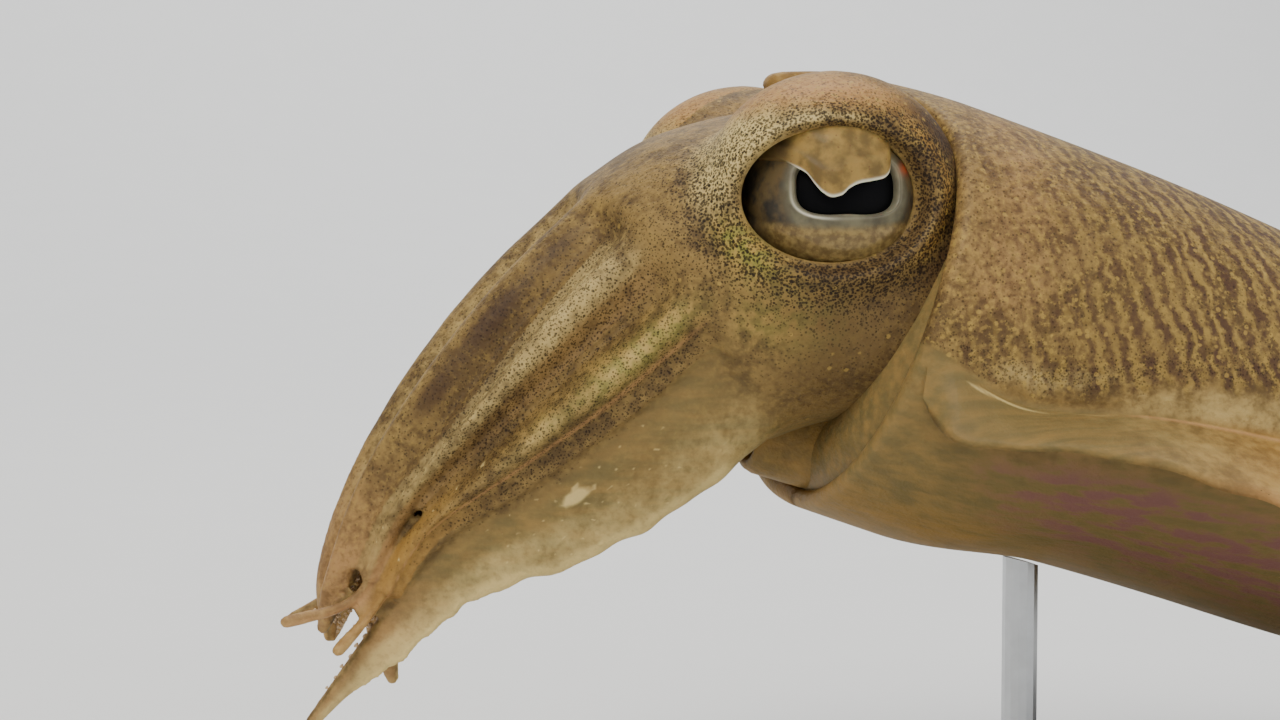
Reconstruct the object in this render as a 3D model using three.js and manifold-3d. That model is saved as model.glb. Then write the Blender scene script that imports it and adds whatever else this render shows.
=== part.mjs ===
// A common cuttlefish, life size, hovering with its arms drooped, on a plain display stand.
// Millimetres, +Z up. The head points to -X and the animal's left side to -Y.
// The origin is the middle of the stand's underside.
import * as THREE from "three";
import { ParametricGeometry } from "three/addons/geometries/ParametricGeometry.js";
import { mergeVertices } from "three/addons/utils/BufferGeometryUtils.js";
import Module from "manifold-3d";

const wasm = await Module();
wasm.setup();

const radians = THREE.MathUtils.degToRad;
const { sin, cos, abs, sign, sqrt, min, max, exp, PI } = Math;

// Driving dimensions
const MANTLE_LENGTH = 185; // along the back, from the lobe over the head to the rear tip
const MANTLE_HALF_WIDTH = 41;
const MANTLE_PITCH = radians(19); // the mantle climbs towards the head
const MANTLE_WALL = 3;
const EYE_SPACING = 60; // between the two pupils
const BASE_LENGTH = 132;
const BASE_WIDTH = 86;
const BASE_THICKNESS = 10;
const ROD_RADIUS = 2.5;
const GAP = 0.3; // between touching pieces

// The middle between the two pupils, seen from the origin. The animal is modelled round that point.
const EYE_MIDDLE = new THREE.Vector3(-75, 0, 96);

// A smooth curve through a few [place, value] stations, with no overshoot between them.
function profile(stations) {
  const x = stations.map((s) => s[0]);
  const y = stations.map((s) => s[1]);
  const last = x.length - 1;
  const slope = x.slice(1).map((b, i) => (y[i + 1] - y[i]) / (b - x[i]));
  const bend = x.map((_, i) => {
    if (i === 0) return slope[0];
    if (i === last) return slope[last - 1];
    const [s, t] = [slope[i - 1], slope[i]];
    return s * t <= 0 ? 0 : (2 * s * t) / (s + t);
  });
  return (at) => {
    const p = min(max(at, x[0]), x[last]);
    let i = 0;
    while (i < last - 1 && p > x[i + 1]) i += 1;
    const step = x[i + 1] - x[i];
    const k = (p - x[i]) / step;
    const rise = y[i + 1] - y[i];
    const ease = k * k * (3 - 2 * k);
    return y[i] + rise * ease + step * (bend[i] * k * (1 - k) ** 2 - bend[i + 1] * k * k * (1 - k));
  };
}

// A power that keeps the sign, for rounded squares.
const signedPower = (value, power) => sign(value) * abs(value) ** power;

// A closed solid from a surface that returns a point for u round it and v along it.
// Rows v = 0 and v = 1 may each close on one point.
function solidOfSurface(point, around, along) {
  const at = (u, v, target) => target.copy(point(u === 1 ? 0 : u, v));
  return solidOf(new ParametricGeometry(at, around, along));
}

// A closed solid from any three.js geometry, with shared corners merged and flat triangles dropped.
function solidOf(geometry) {
  const bare = geometry.clone();
  bare.deleteAttribute("normal");
  bare.deleteAttribute("uv");
  const merged = mergeVertices(bare, 1e-3);
  const source = merged.index.array;
  const corners = [];
  for (let i = 0; i < source.length; i += 3) {
    const [a, b, c] = source.slice(i, i + 3);
    if (a !== b && b !== c && c !== a) corners.push(a, b, c);
  }
  const build = (triangles) =>
    new wasm.Manifold(
      new wasm.Mesh({
        numProp: 3,
        vertProperties: merged.attributes.position.array,
        triVerts: new Uint32Array(triangles),
      }),
    );
  const made = build(corners);
  if (made.volume() > 0) return made;
  const turned = [];
  for (let i = 0; i < corners.length; i += 3) turned.push(corners[i], corners[i + 2], corners[i + 1]);
  return build(turned);
}

// The largest closed piece of a solid that cutting may have left in several.
function largest(solid) {
  return solid.decompose().sort((a, b) => b.volume() - a.volume())[0];
}

function meshOf(name, solid, material) {
  const { numProp, vertProperties, triVerts } = largest(solid).getMesh();
  const corners = new Float32Array((vertProperties.length / numProp) * 3);
  for (let i = 0; i < corners.length / 3; i += 1) {
    corners.set(vertProperties.subarray(i * numProp, i * numProp + 3), i * 3);
  }
  const geometry = new THREE.BufferGeometry();
  geometry.setAttribute("position", new THREE.BufferAttribute(corners, 3));
  geometry.setIndex(new THREE.BufferAttribute(new Uint32Array(triVerts), 1));
  geometry.computeVertexNormals();
  const mesh = new THREE.Mesh(geometry, material);
  mesh.name = name;
  return mesh;
}

// Materials
const paint = (color, roughness, metalness = 0) =>
  new THREE.MeshStandardMaterial({ color, roughness, metalness });
const SKIN = paint(0xa98a5c, 0.45);
const BELLY = paint(0xa8935f, 0.4);
const FIN = paint(0xc3a271, 0.4);
const EYE = paint(0x9a9c8c, 0.12);
const STEEL = paint(0xb9bcbf, 0.3, 1);
const BASE = paint(0x2b2c2e, 0.6);

// The mantle's own frame: t runs along its axis to the rear, n rises towards its back.
function fromMantle(t, y, n) {
  return new THREE.Vector3(
    t * cos(MANTLE_PITCH) + n * sin(MANTLE_PITCH),
    y,
    n * cos(MANTLE_PITCH) - t * sin(MANTLE_PITCH),
  );
}

// Mantle
const LOBE_TIP = -6; // where the lobe over the head ends
const RIM = 14.8; // where the rim lies at the sides
const LOBE_REACH = RIM - LOBE_TIP;
const LOBE_SPREAD = 12.5; // how fast the lobe narrows to its tip
const LOBE_POWER = 1.7;
const RIM_SWELL = 0.6; // the rim comes forward under the funnel
const CAVITY_END = 32; // the neck and the funnel grow from here
const MANTLE_END = LOBE_TIP + MANTLE_LENGTH;
const MANTLE_POWER = 2.25; // 2 is an ellipse, more is squarer
const TIP_POWER = 6; // how late the mantle rounds off to its rear tip
const share = (t) => (t - LOBE_TIP) / MANTLE_LENGTH;
const rounding = (x) => sqrt(max(0, 1 - max(0, x) ** TIP_POWER));
const widthShare = profile([
  [0, 0.6], [0.11, 0.8], [0.2, 0.9], [0.3, 0.97], [0.42, 1],
  [0.55, 0.998], [0.68, 0.95], [0.8, 0.87], [0.9, 0.75], [1, 0.62],
]);
const backHeight = profile([
  [0, 24.5], [0.05, 27.6], [0.14, 29.4], [0.27, 29.6], [0.44, 28.6],
  [0.57, 26.6], [0.74, 22.5], [0.87, 18.5], [1, 13],
]);
const bellyDepth = profile([
  [0, 26.8], [0.1, 28.1], [0.19, 28.4], [0.31, 25.6], [0.42, 24.8],
  [0.52, 24.4], [0.63, 23.2], [0.74, 21.3], [0.84, 18.8], [1, 12.5],
]);
const widestLevel = profile([[0, -9], [0.3, -9.5], [0.7, -11], [1, -15]]);
const halfWidth = (t) => MANTLE_HALF_WIDTH * widthShare(share(t)) * rounding(share(t));

// A point of the mantle's outside, moved out by grow, at the angle turned up from its right side.
function mantlePoint(t, angle, grow = 0) {
  const x = share(t);
  const height = (sin(angle) > 0 ? backHeight(x) : bellyDepth(x)) * rounding(x);
  const across = signedPower(cos(angle), 2 / MANTLE_POWER);
  const up = signedPower(sin(angle), 2 / MANTLE_POWER);
  const side = (halfWidth(t) + grow) * across;
  return fromMantle(t, side, widestLevel(x) + (height + grow) * up);
}

// How far forward the free rim reaches: a rounded lobe over the head, a slight swell under the funnel.
function rimPlace(angle) {
  const off = MANTLE_HALF_WIDTH * 0.74 * abs(signedPower(cos(angle), 2 / MANTLE_POWER));
  const peak = exp(-((off / LOBE_SPREAD) ** LOBE_POWER));
  return RIM - (sin(angle) > 0 ? LOBE_REACH * sin(angle) : RIM_SWELL) * peak;
}

const CAVITY_ROWS = 3;
const LIP_ROUND = 1.4;
// The mantle as a sack with a thick free rim. Grown copies cut a gap into whatever touches it.
function mantleSolid(grow, around, rows) {
  const inside = MANTLE_WALL + grow;
  const end = MANTLE_END + grow;
  const levels = CAVITY_ROWS + 2 + rows;
  return solidOfSurface(
    (u, v) => {
      const angle = u * 2 * PI;
      const rim = rimPlace(angle) - grow;
      const level = Math.round(v * levels);
      if (level === 0) return fromMantle(CAVITY_END - grow, 0, widestLevel(share(CAVITY_END)));
      if (level <= CAVITY_ROWS) {
        const depth = (CAVITY_ROWS - level) / (CAVITY_ROWS - 1);
        const t = rim + LIP_ROUND + (CAVITY_END - grow - rim - LIP_ROUND) * depth;
        return mantlePoint(t, angle, -inside);
      }
      if (level === CAVITY_ROWS + 1) return mantlePoint(rim, angle, grow - inside / 2);
      const k = (level - CAVITY_ROWS - 2) / rows;
      const spread = (1 - cos(PI * k ** 0.8)) / 2; // rows crowd at the rim and at the tip
      const t = rim + LIP_ROUND + (end - rim - LIP_ROUND) * (0.35 * k + 0.65 * spread);
      if (k === 1) return fromMantle(end, 0, widestLevel(1));
      return mantlePoint(min(t, MANTLE_END - 0.2), angle, grow);
    },
    around,
    levels,
  );
}
const MANTLE_AROUND = 40;
const MANTLE_ROWS = 24;
const mantle = mantleSolid(0, MANTLE_AROUND, MANTLE_ROWS);
const grownMantle = mantleSolid(GAP + 0.15, MANTLE_AROUND, MANTLE_ROWS);

// Fins
const FIN_START = 16;
const FIN_ROOT_THICKNESS = 3.4;
const FIN_MARGIN_THICKNESS = 1;
const FIN_WAVES = 2.3;
const FIN_SUNK = 2.5; // how deep the root starts inside the mantle, before the mantle is cut from it
const finLevel = profile([
  [16, -16.5], [28, -19.3], [36, -17.8], [44, -15.4], [60, -13], [80, -11.2], [120, -10.5], [179, -14],
]);
const finReach = profile([
  [0, 2], [0.03, 4.5], [0.06, 7], [0.1, 9.5], [0.2, 13],
  [0.35, 15.5], [0.55, 17], [0.75, 16.5], [0.9, 15], [1, 12],
]);
const finDroop = profile([
  [0, 3.5], [0.03, 6.3], [0.06, 4.2], [0.1, 2.6], [0.15, 3.7], [0.22, 5], [0.4, 4], [0.6, 1.5], [1, 0],
]);
const finWave = profile([[0, 0], [0.15, 0.3], [0.35, 3.4], [0.6, 4.4], [0.85, 3.6], [1, 1.5]]);

// The mantle's outline from above, walked at even steps from the fin's start to near the rear tip.
function outlineWalk(steps) {
  const fine = 400;
  const tipSide = 3; // the two fins leave a notch of twice this at the rear
  const places = [];
  for (let i = 0; i <= fine; i += 1) {
    const t = FIN_START + (MANTLE_END - FIN_START) * sin((PI / 2) * (i / fine));
    if (i === 0 || halfWidth(t) > tipSide) places.push([t, halfWidth(t)]);
  }
  const lengths = [0];
  for (let i = 1; i < places.length; i += 1) {
    const [a, b] = [places[i - 1], places[i]];
    lengths.push(lengths[i - 1] + sqrt((b[0] - a[0]) ** 2 + (b[1] - a[1]) ** 2));
  }
  const total = lengths[lengths.length - 1];
  return Array.from({ length: steps + 1 }, (_, s) => {
    let i = 1;
    while (i < lengths.length - 1 && lengths[i] < (s / steps) * total) i += 1;
    const [a, b] = [places[i - 1], places[i]];
    const k = ((s / steps) * total - lengths[i - 1]) / (lengths[i] - lengths[i - 1]);
    const step = new THREE.Vector2(b[0] - a[0], b[1] - a[1]);
    const run = step.clone().normalize();
    return { t: a[0] + step.x * k, y: a[1] + step.y * k, out: new THREE.Vector2(-run.y, run.x) };
  });
}

const FIN_STEPS = 40;
const FIN_SPLIT = 78; // how far down the mantle a fin is parted in two lengths
const finWalk = outlineWalk(FIN_STEPS);
// A thin waving blade whose root follows the mantle's side. side is -1 left, 1 right.
function finSolid(side) {
  const columns = 5; // across each face, root to margin
  const phase = side < 0 ? 0.3 : 0.75;
  const place = (step, out, face) => {
    const { t, y, out: way } = finWalk[step];
    const q = step / FIN_STEPS;
    const reach = -FIN_SUNK + (finReach(q) + FIN_SUNK) * out;
    const lift = finWave(q) * sin(2 * PI * (FIN_WAVES * q + phase)) - finDroop(q);
    const free = max(0, reach) / finReach(q);
    const half = (FIN_ROOT_THICKNESS + (FIN_MARGIN_THICKNESS - FIN_ROOT_THICKNESS) * sqrt(out)) / 2;
    const n = finLevel(t) + lift * free ** 1.4 + face * half;
    return fromMantle(t + way.x * reach, side * (y + way.y * reach), n);
  };
  const around = 2 * columns;
  return solidOfSurface(
    (u, v) => {
      const row = Math.round(v * (FIN_STEPS + 2));
      const step = min(max(row - 1, 0), FIN_STEPS);
      if (row === 0 || row === FIN_STEPS + 2) return place(step, 0.5, 0);
      const k = Math.round(u * around);
      const onTop = k < columns;
      return place(step, (onTop ? k : around - 1 - k) / (columns - 1), onTop ? 1 : -1);
    },
    around,
    FIN_STEPS + 2,
  );
}

// Head
// Each station gives the section's middle, how far it looks down, and its half sizes.
const headStations = [
  { at: 0, x: 26.9, z: -19.3, down: -19, wide: 29.5, up: 23.5, low: 13 },
  { at: 0.3, x: 12.5, z: -12.6, down: -16, wide: 28.6, up: 22.6, low: 18 },
  { at: 0.6, x: 1, z: -9.5, down: 2, wide: 27.5, up: 21, low: 21.5 },
  { at: 0.8, x: -7.5, z: -11.6, down: 20, wide: 26.2, up: 21.2, low: 21.6 },
  { at: 1, x: -15, z: -16, down: 35, wide: 22.4, up: 20.5, low: 20.7 },
];
const HEAD_POWER = 2.3;
const headTrack = {};
for (const key of ["x", "z", "down", "wide", "up", "low"]) {
  headTrack[key] = profile(headStations.map((s) => [s.at, s[key]]));
}

// A section's middle and its directions: fore along the body, up square to it.
function frameOf(x, z, down) {
  const tilt = radians(down);
  return {
    middle: new THREE.Vector3(x, 0, z),
    fore: new THREE.Vector3(-cos(tilt), 0, -sin(tilt)),
    up: new THREE.Vector3(-sin(tilt), 0, cos(tilt)),
  };
}

function headPoint(at, angle) {
  const { middle, up } = frameOf(headTrack.x(at), headTrack.z(at), headTrack.down(at));
  const height = sin(angle) > 0 ? headTrack.up(at) : headTrack.low(at);
  const across = headTrack.wide(at) * signedPower(cos(angle), 2 / HEAD_POWER);
  const point = middle.clone().addScaledVector(up, height * signedPower(sin(angle), 2 / HEAD_POWER));
  point.y = across;
  return point;
}

// Eyes
const GLOBE_RADIUS = 11.5;
const eyeAxis = (side) => new THREE.Vector3(-0.16, side, 0.03).normalize();
const eyeCentre = (side) =>
  new THREE.Vector3(0, (side * EYE_SPACING) / 2, 0).addScaledVector(eyeAxis(side), -GLOBE_RADIUS);

// The eye's own frame: z looks out of the head, x to the rear and y up, mirrored on the right side.
function eyeMatrix(side) {
  const out = eyeAxis(side);
  const rear = new THREE.Vector3(1, 0, 0).addScaledVector(out, -out.x).normalize();
  const up = new THREE.Vector3().crossVectors(out, rear).multiplyScalar(-side);
  return new THREE.Matrix4().makeBasis(rear, up, out).setPosition(eyeCentre(side));
}

// The pupil's outline, wavy where the lobe of the iris hangs into it. Sizes are from the pupil's middle.
const PUPIL_HALF_WIDTH = 6.2;
function pupilShape() {
  const w = PUPIL_HALF_WIDTH;
  const shape = new THREE.Shape();
  shape.moveTo(-w * 0.92, 3.1);
  shape.quadraticCurveTo(-w * 1.12, 0, -w * 0.8, -1.8);
  shape.quadraticCurveTo(-w * 0.6, -3, -w * 0.1, -2.6);
  shape.lineTo(w * 0.5, -2.4);
  shape.quadraticCurveTo(w * 1.02, -2.3, w, 1.6);
  shape.quadraticCurveTo(w * 1.02, 3.8, w * 0.84, 4.1);
  shape.quadraticCurveTo(w * 0.82, 1.9, w * 0.4, 1.6);
  shape.quadraticCurveTo(w * 0.12, 1.4, -w * 0.1, 0.1);
  shape.quadraticCurveTo(-w * 0.28, -0.7, -w * 0.46, 0.6);
  shape.quadraticCurveTo(-w * 0.68, 2.8, -w * 0.92, 3.1);
  return shape;
}

// The lobe of the iris that hangs over the pupil like a curtain.
function irisLobeShape() {
  const w = PUPIL_HALF_WIDTH;
  const shape = new THREE.Shape();
  shape.moveTo(-w * 0.86, 3.3);
  shape.quadraticCurveTo(-w * 0.66, 2.8, -w * 0.46, 0.9);
  shape.quadraticCurveTo(-w * 0.28, -0.4, -w * 0.1, 0.4);
  shape.quadraticCurveTo(w * 0.12, 1.7, w * 0.4, 1.9);
  shape.quadraticCurveTo(w * 0.84, 2.2, w * 0.82, 4.4);
  shape.lineTo(w * 0.6, 7.4);
  shape.lineTo(-w * 0.6, 7.2);
  shape.closePath();
  return shape;
}

const GLOBE_BACK = 3; // the globe is cut flat this far behind its centre
function globeGeometry(radius, back = GLOBE_BACK) {
  const steps = 8;
  const lowest = Math.asin(-back / radius);
  const points = [new THREE.Vector2(0, -back)];
  for (let i = 0; i <= steps; i += 1) {
    const a = lowest + (PI / 2 - lowest) * (i / steps);
    points.push(new THREE.Vector2(i === steps ? 0 : radius * cos(a), radius * sin(a)));
  }
  return new THREE.LatheGeometry(points, 24).rotateX(PI / 2);
}

function eyeSolid(side) {
  const thickness = { depth: 6, bevelEnabled: false, curveSegments: 3 };
  const pit = new THREE.ExtrudeGeometry(pupilShape(), thickness);
  const lobe = new THREE.ExtrudeGeometry(irisLobeShape(), thickness);
  const floor = solidOf(globeGeometry(GLOBE_RADIUS - 1));
  const curtain = solidOf(globeGeometry(GLOBE_RADIUS + 0.6));
  const globe = solidOf(globeGeometry(GLOBE_RADIUS));
  const well = solidOf(pit.translate(0, 0, 7)).subtract(floor);
  const hanging = solidOf(lobe.translate(0, 0, 6.5)).intersect(curtain);
  return globe.subtract(well).add(hanging).transform(eyeMatrix(side).toArray());
}

const DOME = { x: 2.2, y: 18.8, z: -0.6, along: 16.6, out: 13.6, high: 16.2 };
const LID = { wide: 12.2, high: 9.4, tube: 2.3, forward: 1.2 };

function ellipsoid(x, y, z, radii, around = 22, along = 12) {
  const ball = new THREE.SphereGeometry(1, around, along);
  return solidOf(ball.scale(...radii).translate(x, y, z));
}

// The rim round an eye's opening, as a thick oval ring that the brow makes fuller above.
function lidRing(side) {
  const rise = sqrt(GLOBE_RADIUS ** 2 - LID.high ** 2) + 1.4;
  const ring = solidOfSurface(
    (u, v) => {
      const a = v * 2 * PI;
      const b = u * 2 * PI;
      const tube = LID.tube * (1 + 0.3 * max(0, sin(a)));
      const reach = 1 + (tube * cos(b)) / LID.wide;
      return new THREE.Vector3(
        -LID.forward + LID.wide * reach * cos(a),
        LID.high * reach * sin(a),
        rise + tube * sin(b),
      );
    },
    8,
    22,
  );
  return ring.transform(eyeMatrix(side).toArray());
}

// Funnel: a round tube in front, which spreads into a broad flat collar inside the mantle.
const FUNNEL_TIP = fromMantle(7.5, 0, -30.6);
const FUNNEL_ROOT = fromMantle(31.6, 0, -26);
const FUNNEL_BORE = { radius: 3.4, depth: 12 };
const COLLAR_WRAP = 0.011; // how fast the collar curves up along the mantle's inside
const funnelWide = profile([[0, 5.4], [0.22, 7.2], [0.5, 17], [1, 25]]);
const funnelHigh = profile([[0, 5.4], [0.5, 7.2], [1, 8]]);
const funnelRun = FUNNEL_ROOT.clone().sub(FUNNEL_TIP);

function funnelSolid(grow) {
  const [along, across] = [funnelRun.clone().normalize(), new THREE.Vector3(0, 1, 0)];
  const up = along.clone().cross(across);
  const rows = 8;
  const tube = solidOfSurface(
    (u, v) => {
      const row = Math.round(v * (rows + 2));
      const k = min(max((row - 1) / rows, 0), 1);
      const end = row <= 1 ? -grow : row > rows ? grow : 0;
      const middle = FUNNEL_TIP.clone().addScaledVector(funnelRun, k).addScaledVector(along, end);
      if (row === 0 || row === rows + 2) return middle;
      const lip = row === 1 ? 0.9 : 0;
      const y = (funnelWide(k) + grow - lip) * cos(u * 2 * PI);
      const rise = (funnelHigh(k) + grow - lip) * sin(u * 2 * PI);
      return middle.addScaledVector(across, y).addScaledVector(up, rise + COLLAR_WRAP * k * y * y);
    },
    18,
    rows + 2,
  );
  if (grow > 0) return tube;
  const { radius, depth } = FUNNEL_BORE;
  const bore = [[0, -2], [radius, -2], [radius, depth], [0, depth]].map(([r, h]) => new THREE.Vector2(r, h));
  const turn = new THREE.Quaternion().setFromUnitVectors(new THREE.Vector3(0, 1, 0), along);
  const placed = new THREE.Matrix4().makeRotationFromQuaternion(turn).setPosition(FUNNEL_TIP);
  return tube.subtract(solidOf(new THREE.LatheGeometry(bore, 12).applyMatrix4(placed)));
}

function headSolid() {
  const rows = 12;
  const core = solidOfSurface(
    (u, v) => {
      const row = Math.round(v * (rows + 2));
      const at = min(max((row - 1) / rows, 0), 1);
      if (row === 0 || row === rows + 2) return new THREE.Vector3(headTrack.x(at), 0, headTrack.z(at));
      return headPoint(at, u * 2 * PI);
    },
    28,
    rows + 2,
  );
  let head = core;
  for (const side of [-1, 1]) {
    const dome = ellipsoid(DOME.x, side * DOME.y, DOME.z, [DOME.along, DOME.out, DOME.high]);
    head = head.add(dome).add(lidRing(side));
  }
  for (const side of [-1, 1]) {
    const socket = solidOf(globeGeometry(GLOBE_RADIUS + 0.9, GLOBE_BACK + GAP));
    const opening = new THREE.CylinderGeometry(1, 0.9, 12, 22).rotateX(PI / 2);
    const mouth = solidOf(opening.scale(LID.wide - 1.6, LID.high - 1.4, 1).translate(-LID.forward, 0, 14));
    const place = eyeMatrix(side).toArray();
    head = head.subtract(socket.transform(place)).subtract(mouth.transform(place));
  }
  return head.subtract(grownMantle).subtract(funnelSolid(GAP + 0.15));
}

// Arms
// The eight arms lie in a ring round the crown's axis. high and wide are the ring's outer half sizes.
// borders says where one arm ends and the next begins, in degrees from the top of the ring.
const crownStations = [
  { at: -4, x: -11.7, z: -13.7, down: 35, high: 21.3, wide: 23.5, borders: [0, 34, 66, 93, 180] },
  { at: 12, x: -24, z: -23.9, down: 39, high: 20.2, wide: 20.6, borders: [0, 39.5, 66, 95.5, 180] },
  { at: 27.3, x: -36, z: -33.5, down: 41, high: 17.2, wide: 16.4, borders: [0, 47.5, 68.5, 95, 180] },
  { at: 42.4, x: -47.9, z: -42.7, down: 45, high: 11.4, wide: 11, borders: [0, 50, 72, 96, 180] },
  { at: 54, x: -54.6, z: -52.1, down: 52, high: 7.4, wide: 9, borders: [0, 50, 76, 104, 180] },
];
const armThickness = profile([[-4, 6.6], [12, 5.9], [27.3, 4.7], [42.4, 3.1], [54, 2.1]]);
const armGap = profile([[-4, 0.5], [27, 0.55], [42, 1.2], [54, 1.8]]);
// Each pair's free tips, left and right, and the height of its keel.
const armPairs = [
  { pair: 1, tips: [[-60.5, -1.9, -55.6], [-59, 2.1, -57.5]], keel: 0.3 },
  { pair: 2, tips: [[-66.2, -7.8, -53.4], [-63.8, 8, -56]], keel: 0.8 },
  { pair: 3, tips: [[-59.8, -9.4, -57.2], [-58, 9.4, -58.6]], keel: 0.8 },
  { pair: 4, tips: [[-62.5, -3.4, -67.4], [-50.2, 6, -64.2]], keel: 3 },
];
const ARM_POWER = 2.5;
const ARM_SPLIT = 0.5;

// The plane where the arms leave the head, moved forward by a gap.
function crownFace(gap) {
  const { x, z, down } = headStations[headStations.length - 1];
  const { middle, fore } = frameOf(x, z, down);
  return [fore.toArray(), middle.dot(fore) + gap];
}

// An arm's path and section sizes, from its place in the ring.
function armPlan({ pair, tips, keel }, side) {
  const stations = crownStations.map((s) => {
    const { middle, up } = frameOf(s.x, s.z, s.down);
    const thick = armThickness(s.at);
    const [from, to] = [s.borders[pair - 1], s.borders[pair]];
    const spot = (degrees) => {
      const a = radians(degrees);
      const point = middle.clone().addScaledVector(up, (s.high - thick) * cos(a));
      point.y = side * (s.wide - thick) * sin(a);
      return point;
    };
    const centre = spot((from + to) / 2);
    return {
      centre,
      out: centre.clone().sub(middle).normalize(),
      ring: centre.distanceTo(middle),
      half: (spot(from).distanceTo(spot(to)) - armGap(s.at)) / 2,
      thick,
    };
  });
  const tip = new THREE.Vector3(...(side < 0 ? tips[0] : tips[1]));
  const path = new THREE.CatmullRomCurve3([...stations.map((s) => s.centre), tip], false, "centripetal");
  const ends = stations[stations.length - 1];
  const steps = stations.length; // the path's stations lie at i / steps
  const track = (key, atTip) => profile([...stations.map((s, i) => [i / steps, s[key]]), [1, atTip]]);
  const half = track("half", 0.5);
  const thick = track("thick", 0.5);
  const ring = track("ring", ends.ring);
  const out = (k) => {
    const i = min(Math.floor(k * steps), steps - 1);
    const [a, b] = [stations[i], stations[min(i + 1, steps - 1)]];
    return a.out.clone().lerp(b.out, k * steps - i).normalize();
  };
  const edge = profile([[0, 0.8], [0.25, 1], [0.74, 1], [0.88, 0.7], [0.94, 0.1], [1, 0]]);
  return { side, path, half, thick, ring, out, keel: (k) => keel * edge(k) };
}

// The section's directions at k along an arm: out of the ring, and across towards the animal's back.
function armFrame(plan, k) {
  const along = plan.path.getTangent(k);
  const out = plan.out(k);
  out.addScaledVector(along, -out.dot(along)).normalize();
  const across = new THREE.Vector3().crossVectors(along, out).multiplyScalar(-plan.side);
  return { middle: plan.path.getPoint(k), along, out, across };
}

// A wedge-shaped rounded section that follows the ring, with a thin keel along its outer face.
function armPoint(plan, k, angle) {
  const { middle, out, across } = armFrame(plan, k);
  const [half, thick, ring] = [plan.half(k), plan.thick(k), plan.ring(k)];
  const side = signedPower(cos(angle), 2 / ARM_POWER);
  const rise = signedPower(sin(angle), 2 / ARM_POWER);
  const offset = half * side * (1 + (0.8 * thick * rise) / ring);
  const sag = offset ** 2 / (2.4 * ring);
  const keel = plan.keel(k) * exp(-(((angle - PI / 2) / 0.3) ** 2));
  return middle.clone().addScaledVector(across, offset).addScaledVector(out, thick * rise - sag + keel);
}

function armLength(plan, from, to, rows) {
  return solidOfSurface(
    (u, v) => {
      const row = Math.round(v * (rows + 2));
      const k = from + (to - from) * min(max((row - 1) / rows, 0), 1);
      if (row === 0 || row === rows + 2) {
        const { middle, along } = armFrame(plan, k);
        return to === 1 && row !== 0 ? middle.addScaledVector(along, 0.4) : middle;
      }
      return armPoint(plan, k, u * 2 * PI);
    },
    12,
    rows + 2,
  );
}

// Suckers, in two rows along the arm's inner face, each a low cup that narrows to its root.
const SUCKER_PAIRS = 6;
function suckers(plan, from, to) {
  const made = [];
  for (let i = 0; i < SUCKER_PAIRS * 2; i += 1) {
    const k = 0.06 + (0.9 * (i + 0.5)) / (SUCKER_PAIRS * 2);
    if (k < from + 0.025 || k > to - 0.025) continue;
    const { middle, out, across } = armFrame(plan, k);
    const side = i % 2 === 0 ? 1 : -1;
    const radius = max(0.5, 0.24 * plan.half(k));
    const height = 0.75 * radius;
    const root = min(0.9 * plan.thick(k), 1.6);
    const cup = [[0, -root], [radius, height], [0, 0.35 * height]];
    const shape = new THREE.LatheGeometry(cup.map(([r, h]) => new THREE.Vector2(r, h)), 5);
    const lean = out.clone().negate().addScaledVector(across, 0.25 * side).normalize();
    const turn = new THREE.Quaternion().setFromUnitVectors(new THREE.Vector3(0, 1, 0), lean);
    const spot = middle
      .clone()
      .addScaledVector(across, 0.36 * side * plan.half(k))
      .addScaledVector(out, -0.93 * plan.thick(k));
    shape.applyMatrix4(new THREE.Matrix4().makeRotationFromQuaternion(turn).setPosition(spot));
    made.push(solidOf(shape));
  }
  return made;
}

// Display stand, in the part's own frame
const ROD_PLACES = [-38, 42];
const ROD_SIDES = 14;
const ROD_FLANGE = { radius: 6.5, height: 2 };
function baseSolid() {
  const [x, y, r] = [BASE_LENGTH / 2, BASE_WIDTH / 2, 12];
  const outline = new THREE.Shape();
  const bevel = 1.2;
  outline.absarc(x - r, y - r, r - bevel, 0, PI / 2);
  outline.absarc(r - x, y - r, r - bevel, PI / 2, PI);
  outline.absarc(r - x, r - y, r - bevel, PI, 1.5 * PI);
  outline.absarc(x - r, r - y, r - bevel, 1.5 * PI, 2 * PI);
  const slab = new THREE.ExtrudeGeometry(outline, {
    depth: BASE_THICKNESS - 2 * bevel,
    bevelSize: bevel,
    bevelThickness: bevel,
    bevelSegments: 1,
    curveSegments: 4,
  });
  return solidOf(slab.translate(0, 0, bevel));
}

function rodSolid(x) {
  const top = EYE_MIDDLE.z;
  const bottom = BASE_THICKNESS + GAP;
  const { radius, height } = ROD_FLANGE;
  const bevel = 0.6;
  const outline = [
    [0, 0], [radius, 0], [radius, height - bevel], [radius - bevel, height],
    [ROD_RADIUS, height], [ROD_RADIUS, top - bottom], [0, top - bottom],
  ].map(([r, h]) => new THREE.Vector2(r, h));
  const rod = solidOf(new THREE.LatheGeometry(outline, ROD_SIDES).rotateX(PI / 2).translate(x, 0, bottom));
  const cut = rod.subtract(grownMantle.translate(EYE_MIDDLE.toArray()));
  return cut.decompose().sort((a, b) => a.boundingBox().min[2] - b.boundingBox().min[2])[0];
}

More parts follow.
